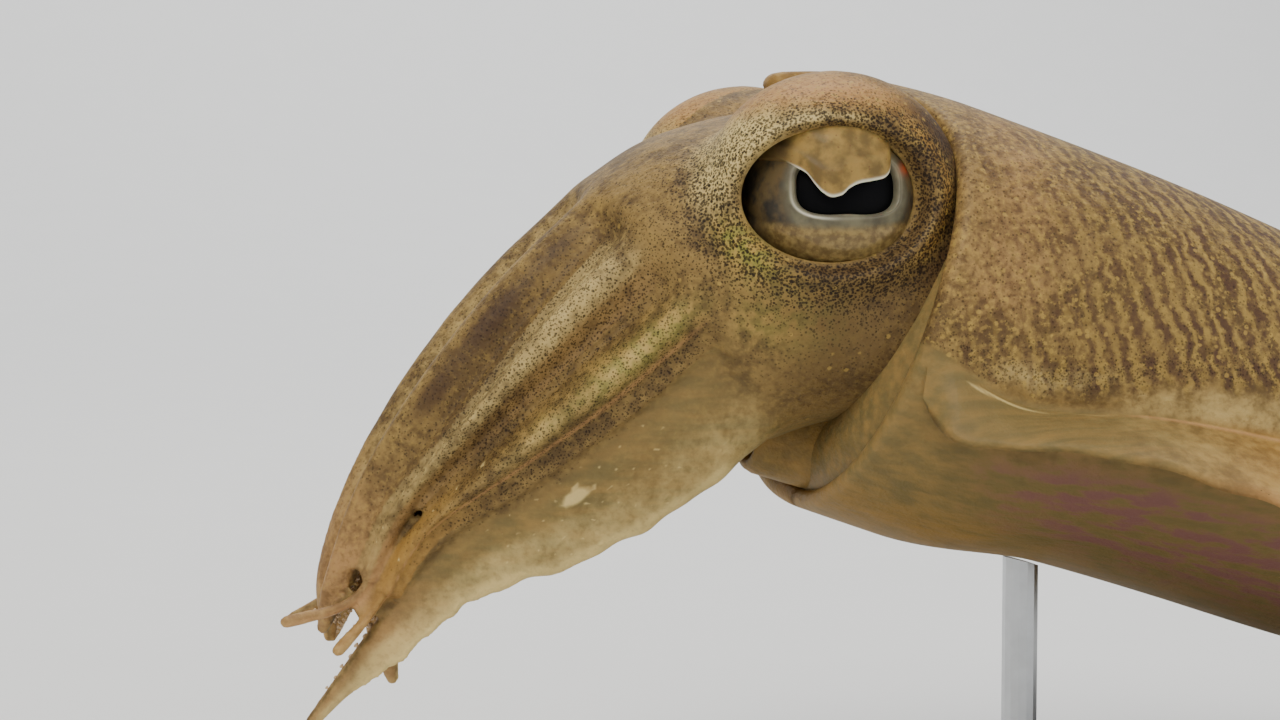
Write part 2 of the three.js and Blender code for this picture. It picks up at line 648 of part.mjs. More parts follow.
// Assembly
const animal = new THREE.Group();
animal.position.copy(EYE_MIDDLE);
animal.add(meshOf("mantle", mantle, SKIN));
animal.add(meshOf("head", headSolid(), SKIN));
animal.add(meshOf("funnel", funnelSolid(0).subtract(grownMantle), BELLY));
for (const [label, side] of [["left", -1], ["right", 1]]) {
  animal.add(meshOf("eye_" + label, eyeSolid(side), EYE));
  const fin = finSolid(side).subtract(grownMantle);
  const rearward = fromMantle(1, 0, 0);
  const forward = rearward.clone().negate();
  animal.add(meshOf(`fin_${label}_front`, fin.trimByPlane(forward.toArray(), -FIN_SPLIT + GAP / 2), FIN));
  animal.add(meshOf(`fin_${label}_rear`, fin.trimByPlane(rearward.toArray(), FIN_SPLIT + GAP / 2), FIN));
  for (const pair of armPairs) {
    const plan = armPlan(pair, side);
    const cut = GAP / 2 / plan.path.getLength();
    const ranges = [["base", 0, ARM_SPLIT - cut, 8], ["tip", ARM_SPLIT + cut, 1, 10]];
    for (const [part, from, to, rows] of ranges) {
      const arm = armLength(plan, from, to, rows);
      const whole = wasm.Manifold.union([arm, ...suckers(plan, from, to)]);
      animal.add(meshOf(`arm_${label}_${pair.pair}_${part}`, whole.trimByPlane(...crownFace(GAP)), SKIN));
    }
  }
}

const stand = new THREE.Group();
stand.add(meshOf("stand_base", baseSolid(), BASE));
ROD_PLACES.forEach((x, i) => stand.add(meshOf(`stand_rod_${["front", "rear"][i]}`, rodSolid(x), STEEL)));

const cuttlefish = new THREE.Group();
cuttlefish.add(animal, stand);
export default cuttlefish;
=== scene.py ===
"""Dresses a life-size common cuttlefish on its display stand.

The animal hovers with its arms drooped. Its head points to -X and its left side to -Y.
Shapes are worked out in millimetres from the middle between the two pupils, and placed in metres.
"""

from __future__ import annotations

import logging
import math
from dataclasses import dataclass
from enum import Enum

import bmesh
import bpy
import numpy as np
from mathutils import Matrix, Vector
from mathutils.bvhtree import BVHTree

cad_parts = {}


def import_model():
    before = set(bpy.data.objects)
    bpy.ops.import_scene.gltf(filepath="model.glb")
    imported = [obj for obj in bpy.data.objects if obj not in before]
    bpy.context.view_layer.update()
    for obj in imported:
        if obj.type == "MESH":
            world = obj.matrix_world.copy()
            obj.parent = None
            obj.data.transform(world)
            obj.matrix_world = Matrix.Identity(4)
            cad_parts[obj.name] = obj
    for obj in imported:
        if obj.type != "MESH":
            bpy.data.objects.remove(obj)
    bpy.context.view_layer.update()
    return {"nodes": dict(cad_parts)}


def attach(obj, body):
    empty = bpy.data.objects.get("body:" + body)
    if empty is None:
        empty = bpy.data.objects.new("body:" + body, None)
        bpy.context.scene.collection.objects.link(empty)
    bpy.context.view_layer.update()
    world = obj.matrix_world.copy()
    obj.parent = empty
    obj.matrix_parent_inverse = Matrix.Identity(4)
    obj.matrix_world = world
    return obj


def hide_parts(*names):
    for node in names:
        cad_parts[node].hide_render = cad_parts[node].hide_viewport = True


log = logging.getLogger("cuttlefish")
Array = np.ndarray

MM = 0.001
QUARTER = math.pi / 2
EYE_MIDDLE = np.array([-75.0, 0.0, 96.0])  # between the pupils, in millimetres from the stand's underside

# Mantle
MANTLE_LENGTH = 185.0
MANTLE_HALF_WIDTH = 41.0
MANTLE_PITCH = math.radians(19.0)
MANTLE_WALL = 2.6
MANTLE_POWER = 2.25
TIP_POWER = 6.0
LOBE_TIP = -6.0
RIM = 14.8
RIM_NOTCH = 1.6
LOBE_REACH = RIM - LOBE_TIP
LOBE_SPREAD = 12.5
LOBE_POWER = 1.7
CAVITY_END = 31.0
MANTLE_END = LOBE_TIP + MANTLE_LENGTH

# Fins
FIN_START = 16.0
FIN_ROOT_HALF = 2.0
FIN_INNER_HALF = 1.3
FIN_MARGIN_HALF = 0.5
FIN_WAVES = 2.3
FIN_FRILLS = 19
FIN_NOTCH = 3.0

# Eyes
EYE_SPACING = 60.0
GLOBE_RADIUS = 11.5
OPENING_WIDE = 11.0
OPENING_HIGH = 8.3
OPENING_FORWARD = 1.3
PATCH_REACH = 1.3  # the lid patch ends at this many times the opening's size
LIP_REACH = 1.035  # and its rounded lip starts at this many times
LID_COLUMNS = 168
DOME_SIZE = np.array([16.9, 13.8, 16.4])
DOME_MIDDLE = np.array([2.2, 18.8, -0.6])
PUPIL_MIDDLE = (0.65, 1.05)
PUPIL_WIDE = 6.8
PUPIL_POWER = 3.0

# Skin grain
VOXEL = 0.52
ARM_BUILD_RADIUS = 1.05  # arms are built no thinner than this, then drawn thinner towards their tips
ARM_TIP = 0.8
ARM_FLARE = 0.8  # how much the outer face of an arm is wider than its inner face
ARM_SAG = 2.4
WEB_HALF_WIDTH = 2.6
WEB_HALF_DEPTH = 1.5
WEB_ENDS = (0.45, 0.76, 0.58, 0.76, 0.3)  # how far down the arms each border's web reaches


class Side(Enum):
    """The animal's sides, with the sign of their Y."""

    LEFT = -1
    RIGHT = 1

    @property
    def label(self) -> str:
        """Returns the side's name as the nodes have it."""
        return self.name.lower()


class Profile:
    """A smooth curve through a few (place, value) stations, with no overshoot between them."""

    def __init__(self, *stations: tuple[float, float]) -> None:
        """Keeps the stations, in rising order of place, and finds the slope at each."""
        self.x, self.y = np.array(stations, float).T
        rise = np.diff(self.y) / np.diff(self.x)
        before, after = rise[:-1], rise[1:]
        total = np.where(before * after > 0, before + after, 1.0)
        inner = np.where(before * after > 0, 2 * before * after / total, 0.0)
        self.slope = np.concatenate([rise[:1], inner, rise[-1:]])

    def __call__(self, at: Array | float) -> Array:
        """Returns the curve's value at each place, held level beyond both ends."""
        p = np.clip(at, self.x[0], self.x[-1])
        i = np.clip(np.searchsorted(self.x, p) - 1, 0, len(self.x) - 2)
        step = self.x[i + 1] - self.x[i]
        k = (p - self.x[i]) / step
        ease = k * k * (3 - 2 * k)
        bend = self.slope[i] * k * (1 - k) ** 2 - self.slope[i + 1] * k * k * (1 - k)
        return self.y[i] + (self.y[i + 1] - self.y[i]) * ease + step * bend


def curve(places: Array, points: Array, at: Array) -> Array:
    """Returns the points of a smooth curve whose stations stand at the places."""
    return np.stack([Profile(*zip(places, column))(at) for column in points.T], -1)


def signed_power(value: Array, power: float) -> Array:
    """Returns the absolute value raised to a power, with its sign kept."""
    return np.sign(value) * np.abs(value) ** power


def rounded(angle: Array, power: float) -> tuple[Array, Array]:
    """Returns the across and the up of a rounded square, cos and sin to the power 2 / power."""
    return signed_power(np.cos(angle), 2 / power), signed_power(np.sin(angle), 2 / power)


def circle(count: int) -> Array:
    """Returns angles evenly round a full turn."""
    return np.linspace(0, 2 * math.pi, count + 1)[:-1]


def smooth(low: float, high: float, value: Array) -> Array:
    """Returns 0 at low and beyond, 1 at high and beyond, and a smooth rise between them."""
    k = np.clip((value - low) / (high - low), 0, 1)
    return k * k * (3 - 2 * k)


def bump(value: Array, width: float) -> Array:
    """Returns a bell that is 1 at 0 and falls off over the width."""
    return np.exp(-((value / width) ** 2))


def unit(v: Array) -> Array:
    """Returns vectors scaled to length 1 along their last axis."""
    return v / np.maximum(np.linalg.norm(v, axis=-1, keepdims=True), 1e-9)


def points_of(*coordinates: Array | float) -> Array:
    """Returns points from their coordinates, spread to one shape."""
    return np.stack(np.broadcast_arrays(*coordinates), -1)


def on_ball(radius: Array | float, tilt: Array, turn: Array) -> Array:
    """Returns points of a ball. Formula: x = r sin a cos t, y = r sin a sin t and z = r cos a."""
    flat = radius * np.sin(tilt)
    return points_of(flat * np.cos(turn), flat * np.sin(turn), radius * np.cos(tilt))


def to_scene(points: Array) -> Array:
    """Turns millimetres from between the pupils into metres from the stand's underside."""
    return (points + EYE_MIDDLE) * MM


def from_scene(points: Array) -> Array:
    """Turns metres from the stand's underside into millimetres from between the pupils."""
    return np.asarray(points, float) / MM - EYE_MIDDLE


# Mantle shape
width_share = Profile(
    (0, 0.6), (0.11, 0.8), (0.2, 0.9), (0.3, 0.97), (0.42, 1),
    (0.55, 0.998), (0.68, 0.95), (0.8, 0.87), (0.9, 0.75), (1, 0.62),
)
back_height = Profile(
    (0, 24.5), (0.05, 27.6), (0.14, 29.4), (0.27, 29.6), (0.44, 28.6),
    (0.57, 26.6), (0.74, 22.5), (0.87, 18.5), (1, 13),
)
belly_depth = Profile(
    (0, 27.6), (0.1, 29), (0.19, 29.1), (0.31, 25.7), (0.42, 24.8),
    (0.52, 24.4), (0.63, 23.2), (0.74, 21.3), (0.84, 18.8), (1, 12.5),
)
widest_level = Profile((0, -9), (0.3, -9.5), (0.7, -11), (1, -15))
fin_level = Profile(
    (16, -16.5), (28, -19.3), (36, -17.8), (44, -15.4), (60, -13), (80, -11.2), (120, -10.5), (179, -14),
)
fin_reach = Profile(
    (0, 2), (0.03, 4.5), (0.06, 7), (0.1, 9.5), (0.2, 13),
    (0.35, 15.5), (0.55, 17), (0.75, 16.5), (0.9, 15), (1, 12),
)
fin_droop = Profile(
    (0, 3.5), (0.03, 6.3), (0.06, 4.2), (0.1, 2.6), (0.15, 3.7), (0.22, 5), (0.4, 4), (0.6, 1.5), (1, 0),
)
fin_wave = Profile((0, 0), (0.15, 0.3), (0.35, 3.4), (0.6, 4.4), (0.85, 3.6), (1, 1.5))
pattern_edge = Profile((16, -17), (30, -15.6), (40, -11.6), (46, -9), (60, -5.5), (90, -4), (179, -9))


def from_mantle(t: Array | float, y: Array | float, n: Array | float) -> Array:
    """Turns places in the mantle's frame into points.

    Formula: x = t cos p + n sin p and z = n cos p - t sin p, where p is the mantle's pitch.

    Args:
        t: how far down the mantle's axis, towards the rear.
        y: how far to the animal's right.
        n: how far towards its back.

    Returns:
        Points in millimetres.
    """
    c, s = math.cos(MANTLE_PITCH), math.sin(MANTLE_PITCH)
    return points_of(t * c + n * s, y, n * c - t * s)


def to_mantle(points: Array) -> tuple[Array, Array]:
    """Returns how far points lie down the mantle's axis, and how far towards its back."""
    c, s = math.cos(MANTLE_PITCH), math.sin(MANTLE_PITCH)
    return points[..., 0] * c - points[..., 2] * s, points[..., 0] * s + points[..., 2] * c


def share(t: Array | float) -> Array | float:
    """Returns the share of the mantle's length that t is, from the lobe's tip to the rear."""
    return (t - LOBE_TIP) / MANTLE_LENGTH


def rounding(x: Array) -> Array:
    """Returns how much of its full size the mantle keeps, falling to 0 at the rear tip."""
    return np.sqrt(np.maximum(0, 1 - np.maximum(0, x) ** TIP_POWER))


def half_width(t: Array) -> Array:
    """Returns the mantle's half width at t."""
    return MANTLE_HALF_WIDTH * width_share(share(t)) * rounding(share(t))


def mantle_point(t: Array, angle: Array, grow: float = 0.0) -> Array:
    """Returns points of the mantle's outside, grown outwards by some millimetres.

    Formula: y is the half width times cos to a power, and n is the widest level plus the height
    times sin to the same power, for the angle turned up from the right side.
    """
    x = share(t)
    height = np.where(np.sin(angle) > 0, back_height(x), belly_depth(x)) * rounding(x)
    across, up = rounded(angle, MANTLE_POWER)
    return from_mantle(t, (half_width(t) + grow) * across, widest_level(x) + (height + grow) * up)


def rim_place(angle: Array) -> Array:
    """Returns where the free rim is: a lobe over the head, a shallow notch under it."""
    off = MANTLE_HALF_WIDTH * 0.74 * np.abs(rounded(angle, MANTLE_POWER)[0])
    peak = np.exp(-((off / LOBE_SPREAD) ** LOBE_POWER))
    return RIM - np.where(np.sin(angle) > 0, LOBE_REACH * np.sin(angle), -RIM_NOTCH) * peak


# Head shape: place along it, middle x and z, degrees that it looks down, and half sizes
HEAD_STATIONS = np.array([
    [0.0, 26.9, -19.3, -19, 29.5, 23.5, 13],
    [0.3, 12.5, -12.6, -16, 28.6, 22.6, 18],
    [0.6, 1.0, -9.5, 2, 27.5, 21, 21.5],
    [0.8, -7.5, -11.6, 20, 26.2, 21.2, 21.6],
    [1.0, -15.0, -16.0, 35, 22.4, 20.5, 20.7],
])
HEAD_POWER = 2.3
head_x, head_z, head_down, head_wide, head_up, head_low = [
    Profile(*zip(HEAD_STATIONS[:, 0], column)) for column in HEAD_STATIONS.T[1:]
]


def head_point(at: Array, angle: Array) -> Array:
    """Returns points of the head's core, a rounded-square section that turns down towards the arms."""
    tilt = np.radians(head_down(at))
    across, up = rounded(angle, HEAD_POWER)
    rise = np.where(np.sin(angle) > 0, head_up(at), head_low(at)) * up
    x, z = head_x(at) - rise * np.sin(tilt), head_z(at) + rise * np.cos(tilt)
    return points_of(x, head_wide(at) * across, z)


# The crown of arms: place along it, middle x and z, degrees down, and the ring's half height and width
CROWN = np.array([
    [-4.0, -11.7, -13.7, 35, 21.3, 23.5],
    [12.0, -24.0, -23.9, 39, 20.2, 20.6],
    [27.3, -36.0, -33.5, 41, 17.2, 16.4],
    [42.4, -47.9, -42.7, 45, 11.4, 11.0],
    [54.0, -54.6, -52.1, 52, 7.4, 9.0],
])
CROWN_MIDDLE = np.insert(CROWN[:, 1:3], 1, 0, axis=1)
# Where one arm ends and the next begins, in degrees from the top of the ring, at each of those places
ARM_BORDERS = np.radians([
    [0, 34, 66, 93, 180],
    [0, 39.5, 66, 95.5, 180],
    [0, 47.5, 68.5, 95, 180],
    [0, 50, 72, 96, 180],
    [0, 50, 76, 104, 180],
])
arm_thickness = Profile((-4, 6.6), (12, 5.9), (27.3, 4.7), (42.4, 3.1), (54, 2.1))
arm_gap = Profile((-4, 0.5), (12, 0.8), (27, 1.3), (42, 1.7), (54, 2.0))


@dataclass(frozen=True)
class ArmPair:
    """One pair of arms: its free tips, left and right, and the height of its keel."""

    number: int
    tips: tuple[tuple[float, float, float], tuple[float, float, float]]
    keel: float


ARM_PAIRS = (
    ArmPair(1, ((-60.5, -1.9, -55.6), (-59, 2.1, -57.5)), 0.3),
    ArmPair(2, ((-66.2, -7.8, -53.4), (-63.8, 8, -56)), 0.2),
    ArmPair(3, ((-59.8, -9.4, -57.2), (-58, 9.4, -58.6)), 0.3),
    ArmPair(4, ((-62.5, -3.4, -67.4), (-50.2, 6, -64.2)), 3.0),
)
ARM_POWER = 2.1
KEEL_SPREAD = 0.26
keel_edge = Profile((0, 0.8), (0.25, 1), (0.74, 1), (0.88, 0.7), (0.94, 0.1), (1, 0))
GROOVE_DEPTH = {(1, 2): 0.5, (2, 3): 1.5, (3, 4): 0.6, (1, 1): 0.9, (4, 4): 0.6}


def past_crown(points: Array) -> Array:
    """Returns how far points lie beyond the face where the arms leave the head."""
    _, x, z, down, *_ = HEAD_STATIONS[-1]
    fore = np.array([-math.cos(math.radians(down)), 0, -math.sin(math.radians(down))])
    return (points - np.array([x, 0, z])) @ fore


def crown_spot(turn: Array, thick: Array, side: Side) -> Array:
    """Returns places in the ring of arms, by angle from its top and depth under its outer face."""
    _, x, z, down, high, wide = CROWN.T
    tilt = np.radians(down)
    rise = (high - thick) * np.cos(turn)
    off = side.value * (wide - thick) * np.sin(turn)
    return np.stack([x - np.sin(tilt) * rise, off, z + np.cos(tilt) * rise], -1)


class Arm:
    """One arm's path and section sizes, worked out from its place in the ring."""

    def __init__(self, pair: ArmPair, side: Side) -> None:
        """Finds the arm's stations along the crown."""
        self.pair, self.side = pair, side
        at = CROWN[:, 0]
        thick = arm_thickness(at)
        start, end = ARM_BORDERS[:, pair.number - 1], ARM_BORDERS[:, pair.number]
        centre, *edges = (crown_spot(turn, thick, side) for turn in ((start + end) / 2, start, end))
        spread = np.linalg.norm(edges[0] - edges[1], axis=1)
        ring = np.linalg.norm(centre - CROWN_MIDDLE, axis=1)
        self.points = np.vstack([centre, pair.tips[0 if side is Side.LEFT else 1]])
        self.outward = unit(centre - CROWN_MIDDLE)
        self.steps = len(at)
        places = np.arange(self.steps + 1) / self.steps
        self.half = Profile(*zip(places, [*((spread - arm_gap(at)) / 2), ARM_TIP]))
        self.thick = Profile(*zip(places, [*thick, ARM_TIP]))
        self.ring = Profile(*zip(places, [*ring, ring[-1]]))

    def frame(self, k: Array) -> tuple[Array, Array, Array, Array]:
        """Returns middle, along, out and across at each share k of the arm.

        Formula: a cubic through the stations whose slope at each is half the way between its
        neighbours, and an outward way that blends between stations and stays square to the path.
        """
        p = self.points
        slope = np.vstack([p[1] - p[0], (p[2:] - p[:-2]) / 2, p[-1] - p[-2]])
        place = np.clip(k, 0, 1) * self.steps
        i = np.clip(place.astype(int), 0, self.steps - 1)
        f = (place - i)[:, None]
        start, end, leave, arrive = p[i], p[i + 1], slope[i], slope[i + 1]
        middle = start * (1 + 2 * f) * (1 - f) ** 2 + leave * f * (1 - f) ** 2
        middle = middle + end * f * f * (3 - 2 * f) - arrive * f * f * (1 - f)
        along = 6 * f * (1 - f) * (end - start) + leave * (1 - f) * (1 - 3 * f) + arrive * f * (3 * f - 2)
        along = unit(along)
        after = np.minimum(i + 1, self.steps - 1)
        out = unit(self.outward[i] * (1 - f) + self.outward[after] * f)
        out = unit(out - along * np.sum(out * along, axis=1, keepdims=True))
        return middle, along, out, np.cross(along, out) * -self.side.value

    def surface(self, k: Array, angle: Array) -> Array:
        """Returns the arm's skin as a grid, one row for each share k and one column for each angle.

        Formula: a rounded wedge whose flanks follow the ring of arms, sagging at its sides by the
        square of the offset, with a thin keel along the outer face.
        """
        middle, _, out, across = self.frame(k)
        half, thick = (np.maximum(size(k), ARM_BUILD_RADIUS)[:, None] for size in (self.half, self.thick))
        ring = self.ring(k)[:, None]
        side, rise = rounded(angle, ARM_POWER)
        offset = half * side * (1 + ARM_FLARE * thick * rise / ring)
        ruffle = 1 + 0.09 * np.sin(2 * math.pi * 7.5 * k) + 0.07 * np.sin(2 * math.pi * 13.3 * k + 1.0)
        keel = (self.pair.keel * keel_edge(k) * ruffle)[:, None] * bump(angle - QUARTER, KEEL_SPREAD)
        lift = thick * rise - offset**2 / (ARM_SAG * ring) + keel
        return middle[:, None] + across[:, None] * offset[..., None] + out[:, None] * lift[..., None]


@dataclass(frozen=True)
class Web:
    """The web of skin that closes the inside of the groove between two neighbouring arms."""

    border: int
    side: Side
    end: float

    def surface(self, turn: Array) -> tuple[Array, Array]:
        """Returns the web's skin as a grid of rows along it, and its middle line.

        Formula: an oval section carried along the border, narrowing to its end.
        """
        at = CROWN[:, 0]
        spots = crown_spot(ARM_BORDERS[:, self.border], 0.62 * arm_thickness(at), self.side)
        places = np.arange(len(at)) / len(at)
        k = np.linspace(0, self.end, 60)
        middle, core = (curve(places, points, k) for points in (spots, CROWN_MIDDLE))
        along = unit(np.gradient(middle, axis=0))
        out = unit(middle - core)
        across = np.cross(along, out)
        size = np.interp(k, [0, 0.5 * self.end, self.end], [1.0, 0.8, 0.35])[:, None, None]
        wide = WEB_HALF_WIDTH * np.cos(turn)[:, None] * across[:, None]
        deep = WEB_HALF_DEPTH * np.sin(turn)[:, None] * out[:, None]
        return middle[:, None] + size * (wide + deep), middle


# Mesh helpers
def grid_faces(rows: int, columns: int, wrap: bool) -> Array:
    """Returns the four-sided faces of a grid of points, joined across its columns if wrap is set."""
    last = columns if wrap else columns - 1
    r, c = np.meshgrid(np.arange(rows - 1), np.arange(last), indexing="ij")
    a, b = r * columns + c, r * columns + (c + 1) % columns
    return np.stack([a, b, b + columns, a + columns], -1).reshape(-1, 4)


@dataclass
class Shell:
    """A surface in the making: points in millimetres and faces of three or four corners."""

    points: Array
    faces: list[tuple[int, ...]]

    @staticmethod
    def sheet(grid: Array, wrap: bool = False) -> Shell:
        """Makes an open sheet from rows of points, joined across its columns if wrap is set."""
        faces = grid_faces(*grid.shape[:2], wrap)
        return Shell(grid.reshape(-1, 3), [tuple(f) for f in faces.tolist()])

    @staticmethod
    def tube(grid: Array, start: Array, end: Array) -> Shell:
        """Makes a closed tube from rows of points and the points that close its ends."""
        rows, columns = grid.shape[:2]
        shell = Shell.sheet(grid, True)
        count, last = rows * columns, (rows - 1) * columns
        shell.points = np.vstack([shell.points, start, end])
        shell.faces += [(count, (c + 1) % columns, c) for c in range(columns)]
        shell.faces += [(count + 1, last + c, last + (c + 1) % columns) for c in range(columns)]
        return shell

    @staticmethod
    def join(parts: list[Shell]) -> Shell:
        """Joins shells into one, without welding them."""
        faces, offset = [], 0
        for part in parts:
            faces += [tuple(i + offset for i in f) for f in part.faces]
            offset += len(part.points)
        return Shell(np.vstack([part.points for part in parts]), faces)

    def build(self, name: str, place: Array = EYE_MIDDLE) -> bpy.types.Object:
        """Makes a smooth-shaded object in metres, its faces turned outwards.

        Args:
            name: the object's name.
            place: what is added to every point, in millimetres.

        Returns:
            The new object, linked into the scene.
        """
        mesh = bpy.data.meshes.new(name)
        mesh.from_pydata(((self.points + place) * MM).tolist(), [], self.faces)
        bm = bmesh.new()
        bm.from_mesh(mesh)
        return finished(bm, mesh, name)


def finished(bm: bmesh.types.BMesh, mesh: bpy.types.Mesh, name: str) -> bpy.types.Object:
    """Turns a mesh's faces outwards, shades them smooth and links the mesh into the scene."""
    bmesh.ops.recalc_face_normals(bm, faces=bm.faces)
    bm.to_mesh(mesh)
    bm.free()
    mesh.polygons.foreach_set("use_smooth", np.ones(len(mesh.polygons), bool))
    obj = bpy.data.objects.new(name, mesh)
    bpy.context.scene.collection.objects.link(obj)
    return obj


def read_points(mesh: bpy.types.Mesh) -> Array:
    """Returns a mesh's points in millimetres from the middle between the pupils."""
    flat = np.empty(len(mesh.vertices) * 3, np.float32)
    mesh.vertices.foreach_get("co", flat)
    return from_scene(flat.reshape(-1, 3))


def store(mesh: bpy.types.Mesh, **values: Array | float) -> None:
    """Keeps numbers for the mesh's points as named attributes."""
    for name, value in values.items():
        layer = mesh.attributes.new(name, "FLOAT", "POINT")
        spread = np.broadcast_to(np.ravel(value), len(mesh.vertices))
        layer.data.foreach_set("value", spread.astype(np.float32))


def relax(mesh: bpy.types.Mesh, points: Array, weight: Array | float, rounds: int) -> Array:
    """Moves points towards the mean of their neighbours, by a weight for each, some rounds over."""
    edges = np.empty(len(mesh.edges) * 2, np.int64)
    mesh.edges.foreach_get("vertices", edges)
    a, b = edges.reshape(-1, 2).T
    size = len(points)
    count = np.maximum(np.bincount(a, minlength=size) + np.bincount(b, minlength=size), 1)[:, None]
    weight = np.broadcast_to(weight, size)[:, None]
    for _ in range(rounds):
        total = [np.bincount(a, v[b], size) + np.bincount(b, v[a], size) for v in points.T]
        points = points + (np.stack(total, -1) / count - points) * weight
    return points


# Shader building
class Value:
    """A number or colour that a node gives, so that sums of numbers read as sums."""

    def __init__(self, shader: Shader, socket: bpy.types.NodeSocket) -> None:
        """Keeps the node's output and the shader that it belongs to."""
        self.shader, self.socket = shader, socket

    def __add__(self, other: Value | float) -> Value:
        """Returns the sum."""
        return self.shader.math("ADD", self, other)

    def __sub__(self, other: Value | float) -> Value:
        """Returns the difference."""
        return self.shader.math("SUBTRACT", self, other)

    def __mul__(self, other: Value | float) -> Value:
        """Returns the product."""
        return self.shader.math("MULTIPLY", self, other)

    def __truediv__(self, other: Value | float) -> Value:
        """Returns the quotient."""
        return self.shader.math("DIVIDE", self, other)

    def __lt__(self, other: Value | float) -> Value:
        """Returns 1 where it is the smaller and 0 elsewhere."""
        return self.shader.math("LESS_THAN", self, other)


class Shader:
    """A material in the making, with short ways to add the nodes that a skin needs."""

    def __init__(self, name: str) -> None:
        """Starts a material with one surface shader."""
        self.material = bpy.data.materials.new(name)
        self.material.use_nodes = True
        self.nodes = self.material.node_tree.nodes
        self.links = self.material.node_tree.links
        self.nodes.clear()
        self.surface = self.nodes.new("ShaderNodeBsdfPrincipled")
        out = self.nodes.new("ShaderNodeOutputMaterial")
        self.links.new(self.surface.outputs[0], out.inputs["Surface"])
        self.place = self.add("TexCoord", "Object")

    def feed(self, socket: bpy.types.NodeSocket, value: Value | float | tuple) -> None:
        """Links or sets a socket."""
        if isinstance(value, Value):
            self.links.new(value.socket, socket)
        elif isinstance(value, tuple) and len(value) < len(socket.default_value):
            socket.default_value = (*value, 1)
        else:
            socket.default_value = value

    def add(self, kind: str, output: str | int, *inputs: tuple, **settings: str) -> Value:
        """Adds a node.

        Args:
            kind: its type.
            output: which of its outputs is wanted.
            inputs: pairs of an input's name or place and what feeds it.
            settings: its own settings.

        Returns:
            The output wanted.
        """
        node = self.nodes.new(f"ShaderNode{kind}")
        for key, value in settings.items():
            setattr(node, key, value)
        for key, value in inputs:
            self.feed(node.inputs[key], value)
        return Value(self, node.outputs[output])

    def finish(self, **values: Value | float | tuple) -> bpy.types.Material:
        """Feeds the surface shader, with spaces in names written as underscores, and returns the material."""
        for key, value in values.items():
            self.feed(self.surface.inputs[key.replace("_", " ")], value)
        return self.material

    def attribute(self, name: str) -> Value:
        """Returns a named number of the mesh."""
        return self.add("Attribute", "Fac", attribute_name=name)

    def math(self, operation: str, *values: Value | float) -> Value:
        """Returns the result of a sum."""
        return self.add("Math", 0, *enumerate(values), operation=operation)

    def ramp(self, value: Value, low: float, high: float, start: float = 0.0, end: float = 1.0) -> Value:
        """Returns a smooth step from start to end as the value goes from low to high."""
        inputs = enumerate((value, low, high, start, end))
        return self.add("MapRange", 0, *inputs, interpolation_type="SMOOTHSTEP")

    def mix(self, second_share: Value | float, first: Value | tuple, second: Value | tuple) -> Value:
        """Returns a mix of two colours."""
        return self.add("Mix", 2, (0, second_share), (6, first), (7, second), data_type="RGBA")

    def clouds(self, noise: Value, low: float, high: float, first: tuple, second: tuple) -> Value:
        """Returns a colour that drifts from the first to the second as the noise goes from low to high."""
        return self.mix(self.ramp(noise, low, high), first, second)

    def noise(
        self, size_mm: float, detail: float = 3.0, rough: float = 0.55, place: Value | None = None,
    ) -> Value:
        """Returns cloudy noise whose clouds are about size_mm across."""
        return self.add("TexNoise", "Fac", ("Vector", place or self.place), ("Scale", 1000.0 / size_mm),
                        ("Detail", detail), ("Roughness", rough))

    def drawn_out(self, times: float) -> Value:
        """Returns the object's coordinates squeezed along the body, so that noise makes long streaks."""
        return self.add("Mapping", 0, ("Vector", self.place), ("Rotation", (0, -MANTLE_PITCH, 0)),
                        ("Scale", (1 / times, 1, 1)))

    def cells(self, size_mm: float) -> tuple[Value, Value, Value]:
        """Returns the distance to scattered cells about size_mm apart, and two chances for each cell."""
        near = self.add("TexVoronoi", "Distance", ("Vector", self.place), ("Scale", 1000.0 / size_mm))
        colour = Value(self, near.socket.node.outputs["Color"])
        first = self.add("SeparateColor", 0, (0, colour))
        return near, first, Value(self, first.socket.node.outputs[1])

    def bump(self, height: Value, depth_mm: float, *normal: Value) -> Value:
        """Returns a normal, or the one given, roughened by a height."""
        return self.add("Bump", 0, ("Distance", depth_mm * MM), ("Strength", 1.0), ("Height", height),
                        *(("Normal", item) for item in normal))


def tone(*screen: int) -> tuple[float, ...]:
    """Returns a screen colour, red, green and blue from 0 to 255, as linear light."""
    return tuple(v / 255 / 12.92 if v < 11 else ((v / 255 + 0.055) / 1.055) ** 2.4 for v in screen)


@dataclass(frozen=True)
class SkinTones:
    """The skin's colours."""

    tan: tuple = tone(138, 112, 64)
    deep: tuple = tone(94, 74, 44)
    cream: tuple = tone(206, 182, 120)
    green: tuple = tone(142, 138, 60)
    gold: tuple = tone(162, 120, 54)
    blush: tuple = tone(176, 132, 86)
    dark: tuple = tone(62, 42, 30)
    stripe: tuple = tone(78, 54, 40)
    straw: tuple = tone(172, 142, 72)
    olive: tuple = tone(110, 96, 58)
    pink: tuple = tone(122, 84, 76)
    mottle: tuple = tone(84, 60, 34)
    dot: tuple = tone(26, 17, 12)


